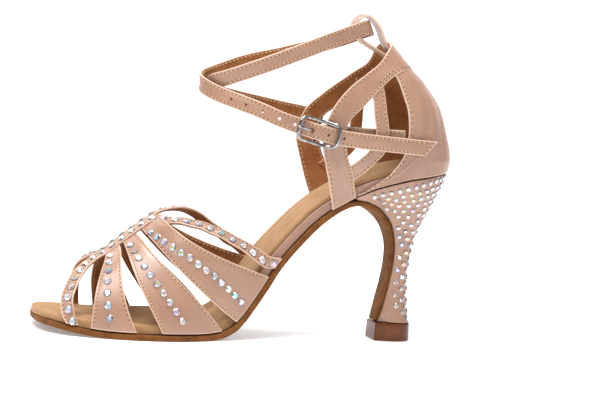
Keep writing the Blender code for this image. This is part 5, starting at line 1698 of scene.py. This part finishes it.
def make_prong():
    """The prong, from its eye round the centre bar to its tip past the front bar."""
    centre, ahead, up, out, _ = buckle_axes()
    bar = centre - out * BAR_DEPTH
    eye = BAR_RADIUS + CLEARANCE + PRONG_WIRE / 2
    rest = END_LIFT + BUCKLE_WIRE / 2 + CLEARANCE + PRONG_WIRE / 2
    path = []
    for degrees in range(300, 30, -30):
        angle = math.radians(degrees)
        path.append(bar + ahead * eye * math.cos(angle) + out * eye * math.sin(angle))
    path.append(centre + ahead * PRONG_AT * HALF_LENGTH - out * 0.38 * BAR_DEPTH)
    for t, lift in ((PRONG_AT, 0.38), (0.48, 0.76), (0.80, 0.97), (1.00, 1.00), (1.12, 0.94)):
        path.append(centre + ahead * t * HALF_LENGTH + out * lift * rest)
    path = smooth_line(path, 90)
    tangent = tangents_of(path)
    first = unit(up - tangent * (tangent @ up)[:, None])
    grid = wire_grid(path, PRONG_WIRE / 2, first, np.cross(tangent, first))
    for k in range(PRONG_END):
        size = math.sqrt(1.0 - ((PRONG_END - k) / (PRONG_END + 0.4)) ** 2)
        for end in (k, -1 - k):
            grid[end] = path[end] + (grid[end] - path[end]) * size
    return rolled_piece("prong_wire", grid, NICKEL)


frame_piece = make_buckle()
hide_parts("buckle_frame")
prong_piece = make_prong()
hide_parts("buckle_prong")
print("buckle faces:", len(frame_piece.data.polygons))
print("prong faces:", len(prong_piece.data.polygons))

# %% [markdown]
# The heel ends in a brown moulded top piece. It is hard plastic, glossier than anything else on the
# shoe apart from metal and stones, with a small rounded edge at the floor and a fine groove under
# the satin. Its colour is uneven, with faint scratches.

# %% Heel tip
TIP_LENGTH = 20.6 * MM
TIP_WIDTH = 19.2 * MM
TIP_BACK = -0.485
TIP_TAPER = 0.97
TIP_FRONT = 0.84
TIP_EDGE = 0.7 * MM


def make_tip_plastic():
    made, tree, shader = new_material("brown_plastic")
    place = object_place(tree)
    cloud = noise_node(tree, place, 120.0, 4.0)
    base = ramp_node(tree, cloud, ((0.35, (0.085, 0.022, 0.004)), (0.70, (0.150, 0.042, 0.009))))
    scratch = noise_node(tree, stretched(tree, place, (300, 300, 3600)), 1.0, 3.0)
    worn = grey_ramp(tree, scratch, (0.60, 0.0), (0.78, 0.35))
    colour = mix_colours(tree, worn, base, (0.26, 0.11, 0.045))
    tree.links.new(colour, shader.inputs["Base Color"])
    gloss = grey_ramp(tree, cloud, (0.3, 0.34), (0.7, 0.24))
    tree.links.new(gloss, shader.inputs["Roughness"])
    shader.inputs["Specular IOR Level"].default_value = 0.32
    tree.links.new(bump_node(tree, scratch, 0.02 * MM), shader.inputs["Normal"])
    return made


def make_heel_tip():
    """Rings from the floor up: a rounded edge, the tapered block and its groove."""
    levels = [(0.0, -TIP_EDGE)]
    for degrees in (22.5, 45.0, 67.5, 90.0):
        angle = math.radians(degrees)
        levels.append((TIP_EDGE * (1 - math.cos(angle)), -TIP_EDGE * (1 - math.sin(angle))))
    levels += [
        (TIP_HEIGHT - 1.2 * MM, 0.0), (TIP_HEIGHT - 0.35 * MM, 0.0),
        (TIP_HEIGHT - 0.12 * MM, -0.10 * MM), (TIP_HEIGHT, -0.35 * MM),
    ]
    rings = []
    for height, inset in levels:
        size = 1.0 + (TIP_TAPER - 1.0) * height / TIP_HEIGHT
        back = TIP_BACK * TIP_LENGTH * size
        front = back + TIP_LENGTH * size + inset
        widest = TIP_WIDTH / 2 * size + inset
        rings.append(heel_ring((front, height), (back - inset, height), widest * TIP_FRONT, widest))
    piece = rolled_piece("tip_block", np.array(rings), make_tip_plastic())
    return round_edges(piece, 0.35 * MM, 50)


tip_piece = make_heel_tip()
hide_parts("heel_tip")
print("tip faces:", len(tip_piece.data.polygons))

# %% [markdown]
# Every strap is held by lockstitch in a beige-gold thread. Each stitch is a small spindle that lies
# half sunk in the dip along the seam, with painted shade darkening both ends, where the thread goes
# down its hole, and a flat dark bead between two stitches is painted shade for the hole itself. Both
# are little spheres with few faces, drawn out along the seam.

# %% Stitches
STITCH_LENGTH = 1.72 * MM
STITCH_WIDTH = 0.60 * MM
STITCH_HEIGHT = 0.46 * MM
STITCH_SUNK = 0.06 * MM
STITCH_HOLE_SHADE = 0.85 * MM
SEAM_END = 1.2 * MM


def make_thread():
    made, tree, shader = new_material("gold_thread")
    place = object_place(tree)
    twist = noise_node(tree, place, 2600.0, 2.0)
    bright = ramp_node(tree, twist, ((0.3, (0.42, 0.255, 0.120)), (0.7, (0.66, 0.45, 0.235))))
    # Painted shade: the thread darkens towards both ends of each stitch and on the hole beads.
    end_and_hole_shade = grey_ramp(tree, attribute_value(tree, "end"), (0.50, 0.0), (0.90, 1.0))
    colour = mix_colours(tree, end_and_hole_shade, bright, (0.150, 0.062, 0.026))
    tree.links.new(colour, shader.inputs["Base Color"])
    shader.inputs["Roughness"].default_value = 0.55
    shader.inputs["Sheen Weight"].default_value = 0.2
    tree.links.new(bump_node(tree, twist, 0.05 * MM), shader.inputs["Normal"])
    return made


THREAD = make_thread()


def seam_places(surface, inset, far=False, start=0.0, end=1.0):
    """Places of the stitches on one seam, a fixed way in from one edge of a surface."""
    first = max(start * surface.length, SEAM_END)
    last = min(end * surface.length, surface.length - SEAM_END)
    places = []
    for k in range(int(first / STITCH_PITCH) + 1, int(last / STITCH_PITCH)):
        ends = []
        for along in ((k - 0.5) * STITCH_PITCH, (k + 0.5) * STITCH_PITCH):
            width = float(np.interp(along, surface.along, surface.width))
            ends.append(surface.place(along, width - inset if far else inset))
        (one, normal, _), (two, normal_two, _) = ends
        places.append(((one + two) / 2, unit(normal + normal_two), unit(two - one)))
    return places


def end_places(surface, inset):
    """Places of the stitches across the last end of a surface."""
    along, width = surface.length - inset, float(surface.width[-1])
    count = round((width - 2 * inset) / STITCH_PITCH)
    rows = np.linspace(inset, width - inset, count + 1)
    marks = [surface.place(along, across) for across in rows]
    return [((a[0] + b[0]) / 2, a[1], unit(b[0] - a[0])) for a, b in zip(marks, marks[1:])]


def on_the_inside(places, wall):
    """The same seam where it comes out on the lining."""
    return [
        (point - normal * (wall + 0.02 * MM), -normal, ahead) for point, normal, ahead in places
    ]


def in_batches(places, make_batch, size=40):
    """One bmesh from many small ones, because an operator slows down as its bmesh grows."""
    whole = bmesh.new()
    for start in range(0, len(places), size):
        batch = bmesh.new()
        make_batch(batch, places[start:start + size])
        mesh = mesh_of("batch", batch)
        whole.from_mesh(mesh)
        bpy.data.meshes.remove(mesh)
    return whole


def add_stitches(bm, places):
    """Adds a stitch at each place, a point, a normal and a direction, and painted hole shade after
    it.
    """
    end = bm.verts.layers.float.new("end")
    for point, normal, ahead in places:
        side = unit(np.cross(normal, ahead))
        normal = np.cross(ahead, side)
        axes = (side * STITCH_WIDTH / 2, normal * STITCH_HEIGHT / 2, ahead * STITCH_LENGTH / 2)
        turn = frame_at(point + normal * (STITCH_HEIGHT / 2 - STITCH_SUNK - CROWN), *axes)
        made = bmesh.ops.create_uvsphere(bm, u_segments=6, v_segments=5, radius=1.0, matrix=turn)
        for vert in made["verts"]:
            vert[end] = abs(float((np.array(vert.co) - point) @ ahead)) / (STITCH_LENGTH / 2)
        # The hole: a flat bead in the thread's darkest tone, painted shade in the needle hole.
        axes = (side * STITCH_WIDTH * 0.55, normal * 0.16 * MM, ahead * STITCH_HOLE_SHADE / 2)
        turn = frame_at(point + ahead * STITCH_PITCH / 2 - normal * 0.02 * MM, *axes)
        made = bmesh.ops.create_uvsphere(bm, u_segments=6, v_segments=4, radius=1.0, matrix=turn)
        for vert in made["verts"]:
            vert[end] = 1.0


# %% Seams of every piece
SEAMS = {
    # stitches: surfaces that they hold
    "fan_stitches": ("fan_1", "fan_2", "fan_3"),
    "edge_stitches": ("edge_outer", "edge_inner"),
    "collar_stitches": ("collar",),
    "counter_stitches": ("counter",),
    "crescent_stitches": ("crescent_outer", "crescent_inner"),
    "strap_stitches": ("ankle_strap",),
    "loop_stitches": ("loop", "tab"),
}
SEAM_LIMITS = {"counter": 0.93, "tab": 0.72}  # share of the length where the seam stops
for name, surfaces in SEAMS.items():
    places = []
    for surface_name in surfaces:
        surface = DRESSED[surface_name]
        for far in (False, True):
            end = SEAM_LIMITS.get(surface_name, 1.0)
            places += seam_places(surface, SEAM_INSET, far, end=end)
        if surface_name == "collar":
            places += seam_places(surface, SEAM_INSET + 1.5 * MM, True, 0.33, 0.67)
        if surface_name == "ankle_strap":
            places += end_places(surface, SEAM_INSET)
    if name in ("collar_stitches", "strap_stitches", "fan_stitches"):
        places += on_the_inside(places, WALL)
    finish_object(name, in_batches(places, add_stitches), THREAD)
    print(name, len(places))

# %% [markdown]
# The stones are flat-backed, foiled glass, about 4 mm on the straps and a little smaller on the
# heel. Each has a girdle, a ring of facets and a flat table. One stone is cut from a short cone:
# its top is inset and turned, so that the facets between become triangles. Each face keeps a
# number of its own, from which the glass takes a tint, as the shimmering coat of such stones does.

# %% Glass of the stones
GEM_SEED = 11
STRAP_GEM = 4.0 * MM
HEEL_GEM = 2.9 * MM
GEM_SUNK = 0.10 * MM


def make_gem_glass():
    made, tree, shader = new_material("shimmer_glass")
    facet = attribute_value(tree, "facet")
    tint = ramp_node(tree, facet, (
        (0.0, (0.10, 0.095, 0.10)), (0.03, (0.26, 0.25, 0.26)), (0.09, (0.07, 0.06, 0.10)),
        (0.17, (0.66, 0.34, 0.20)), (0.26, (0.36, 0.22, 0.60)), (0.35, (0.16, 0.40, 0.62)),
        (0.44, (0.30, 0.64, 0.56)), (0.52, (0.72, 0.58, 0.26)), (0.60, (0.68, 0.42, 0.50)),
        (0.68, (0.70, 0.70, 0.74)),
    ))
    tint.node.color_ramp.interpolation = "CONSTANT"
    tree.links.new(tint, shader.inputs["Base Color"])
    rough = grey_ramp(tree, facet, (0.0, 0.40), (0.12, 0.07))
    tree.links.new(rough, shader.inputs["Roughness"])
    shader.inputs["Metallic"].default_value = 0.55
    shader.inputs["IOR"].default_value = 1.7
    shader.inputs["Coat Weight"].default_value = 0.8
    shader.inputs["Coat Roughness"].default_value = 0.03
    return made


# %% One cut stone, and many of them in one mesh
def gem_template():
    """A cut stone of radius 1 on its flat back."""
    bm = bmesh.new()
    bmesh.ops.create_cone(bm, cap_ends=True, segments=8, radius1=1.0, radius2=1.0, depth=0.16,
                          matrix=Matrix.Translation((0, 0, 0.08)))
    top = max(bm.faces, key=lambda face: face.calc_center_median().z)
    for thickness, depth in ((0.15, 0.10), (0.32, 0.26)):
        crown = bmesh.ops.inset_region(bm, faces=[top], thickness=thickness, depth=depth,
                                       use_even_offset=False)["faces"]
    half_facet = Matrix.Rotation(math.radians(22.5), 3, "Z")
    bmesh.ops.rotate(bm, verts=top.verts[:], cent=(0, 0, 0), matrix=half_facet)
    bmesh.ops.triangulate(bm, faces=crown)
    bmesh.ops.recalc_face_normals(bm, faces=bm.faces)
    return mesh_of("gem_template", bm)


GLASS = make_gem_glass()
CUT_STONE = gem_template()
CHANCE = np.random.default_rng(GEM_SEED)


def add_stones(bm, places):
    """Adds one stone for each place: a point, a normal, a direction and a diameter."""
    facet = bm.faces.layers.float.new("facet")
    for point, normal, ahead, size in places:
        before = len(bm.verts)
        faces_before = len(bm.faces)
        bm.from_mesh(CUT_STONE)
        bm.verts.ensure_lookup_table()
        bm.faces.ensure_lookup_table()
        angle = CHANCE.uniform(0.0, math.pi / 4)
        side = unit(np.cross(normal, ahead))
        front = np.cross(side, normal)
        first = side * math.cos(angle) + front * math.sin(angle)
        second = np.cross(normal, first)
        axes = [Vector(axis) * size / 2 for axis in (first, second, normal)]
        turn = frame_at(point - normal * GEM_SUNK, *axes)
        leading = CHANCE.uniform(0.12, 1.0)
        for face in bm.faces[faces_before:]:
            height = face.calc_center_median().z
            if height < 0.15:
                face[facet] = 0.02
            elif height < 0.22:
                face[facet] = CHANCE.uniform(0.03, 0.09)
            elif height > 0.5:
                face[facet] = CHANCE.uniform(0.50, 1.0)
            else:
                face[facet] = leading if CHANCE.random() < 0.4 else CHANCE.uniform(0.06, 0.95)
        bmesh.ops.transform(bm, matrix=turn, verts=bm.verts[before:])


def gem_piece(name, places):
    """All stones of one piece, with flat facets."""
    piece = finish_object(name, in_batches(places, add_stones), GLASS)
    piece.data.shade_flat()
    return piece


# %% Stones on the straps
# name: count, then places along and across as shares
STONE_RUNS = {
    "fan_1": (7, ((0.612, 0.32), (0.72, 0.38), (0.84, 0.42), (0.945, 0.45))),
    "fan_2": (10, ((0.598, 0.28), (0.70, 0.38), (0.80, 0.44), (0.945, 0.43))),
    "fan_3": (13, ((0.583, 0.18), (0.66, 0.36), (0.74, 0.52), (0.83, 0.52), (0.965, 0.36))),
    "edge_outer": (25, ((0.010, 0.42), (0.35, 0.42), (0.50, 0.42), (0.65, 0.42), (0.985, 0.42))),
}
places = []
for name, (count, rows) in STONE_RUNS.items():
    mirrored = "edge_inner" if name == "edge_outer" else name
    table = np.array(rows)
    for surface, flip in ((DRESSED[name], False), (DRESSED[mirrored], True)):
        for along in np.linspace(table[0, 0], table[-1, 0], count):
            share = float(np.interp(along, table[:, 0], table[:, 1]))
            reach = (1.0 - along if flip and name != "edge_outer" else along) * surface.length
            width = float(np.interp(reach, surface.along, surface.width))
            across = share * width if name != "edge_outer" or not flip else (1.0 - share) * width
            point, normal, ahead = surface.place(reach, across)
            places.append((point, normal, ahead, STRAP_GEM))
gem_piece("strap_stones", places)
print("stones on the straps:", len(places))

# %% [markdown]
# The heel's stones sit close together in staggered rows: thick on the flare, then a few columns a
# side down the back of the stem. A stone is set wherever a step down and round finds enough room
# from all stones before it, and its twin is set on the other side.

# %% Stones on the heel
HEEL_STEP = 0.55 * MM
HEEL_SPACING = 4.05 * MM
HEEL_REACH = (
    # down the heel, round from its back; both in mm
    (0.0, 60.0), (6.0, 56.0), (12.0, 48.0), (18.0, 38.0),
    (26.0, 27.0), (36.0, 18.5), (48.0, 13.5), (90.0, 12.0),
)
heel_surface = Surface(HEEL_GRID, (0.0, 0.0, 0.05))
centres = np.zeros((0, 3))
places = []
for down in np.arange(2.6 * MM, heel_surface.length - 2.2 * MM, HEEL_STEP):
    reach = np.interp(down / MM, *np.array(HEEL_REACH).T) * MM
    middle = float(np.interp(down, heel_surface.along, heel_surface.width)) / 2
    for offset in np.arange(0.0, min(reach, middle - 2.4 * MM), HEEL_STEP):
        if 0.0 < offset < HEEL_SPACING / 2:
            continue
        signs = (1,) if offset == 0.0 else (1, -1)
        found = [heel_surface.place(down, middle + sign * offset) for sign in signs]
        if len(centres) and np.linalg.norm(centres - found[0][0], axis=1).min() < HEEL_SPACING:
            continue
        centres = np.vstack([centres, [place[0] for place in found]])
        places += [(*place, HEEL_GEM) for place in found]
gem_piece("heel_stones", places)
print("stones on the heel:", len(places))

# %% [markdown]
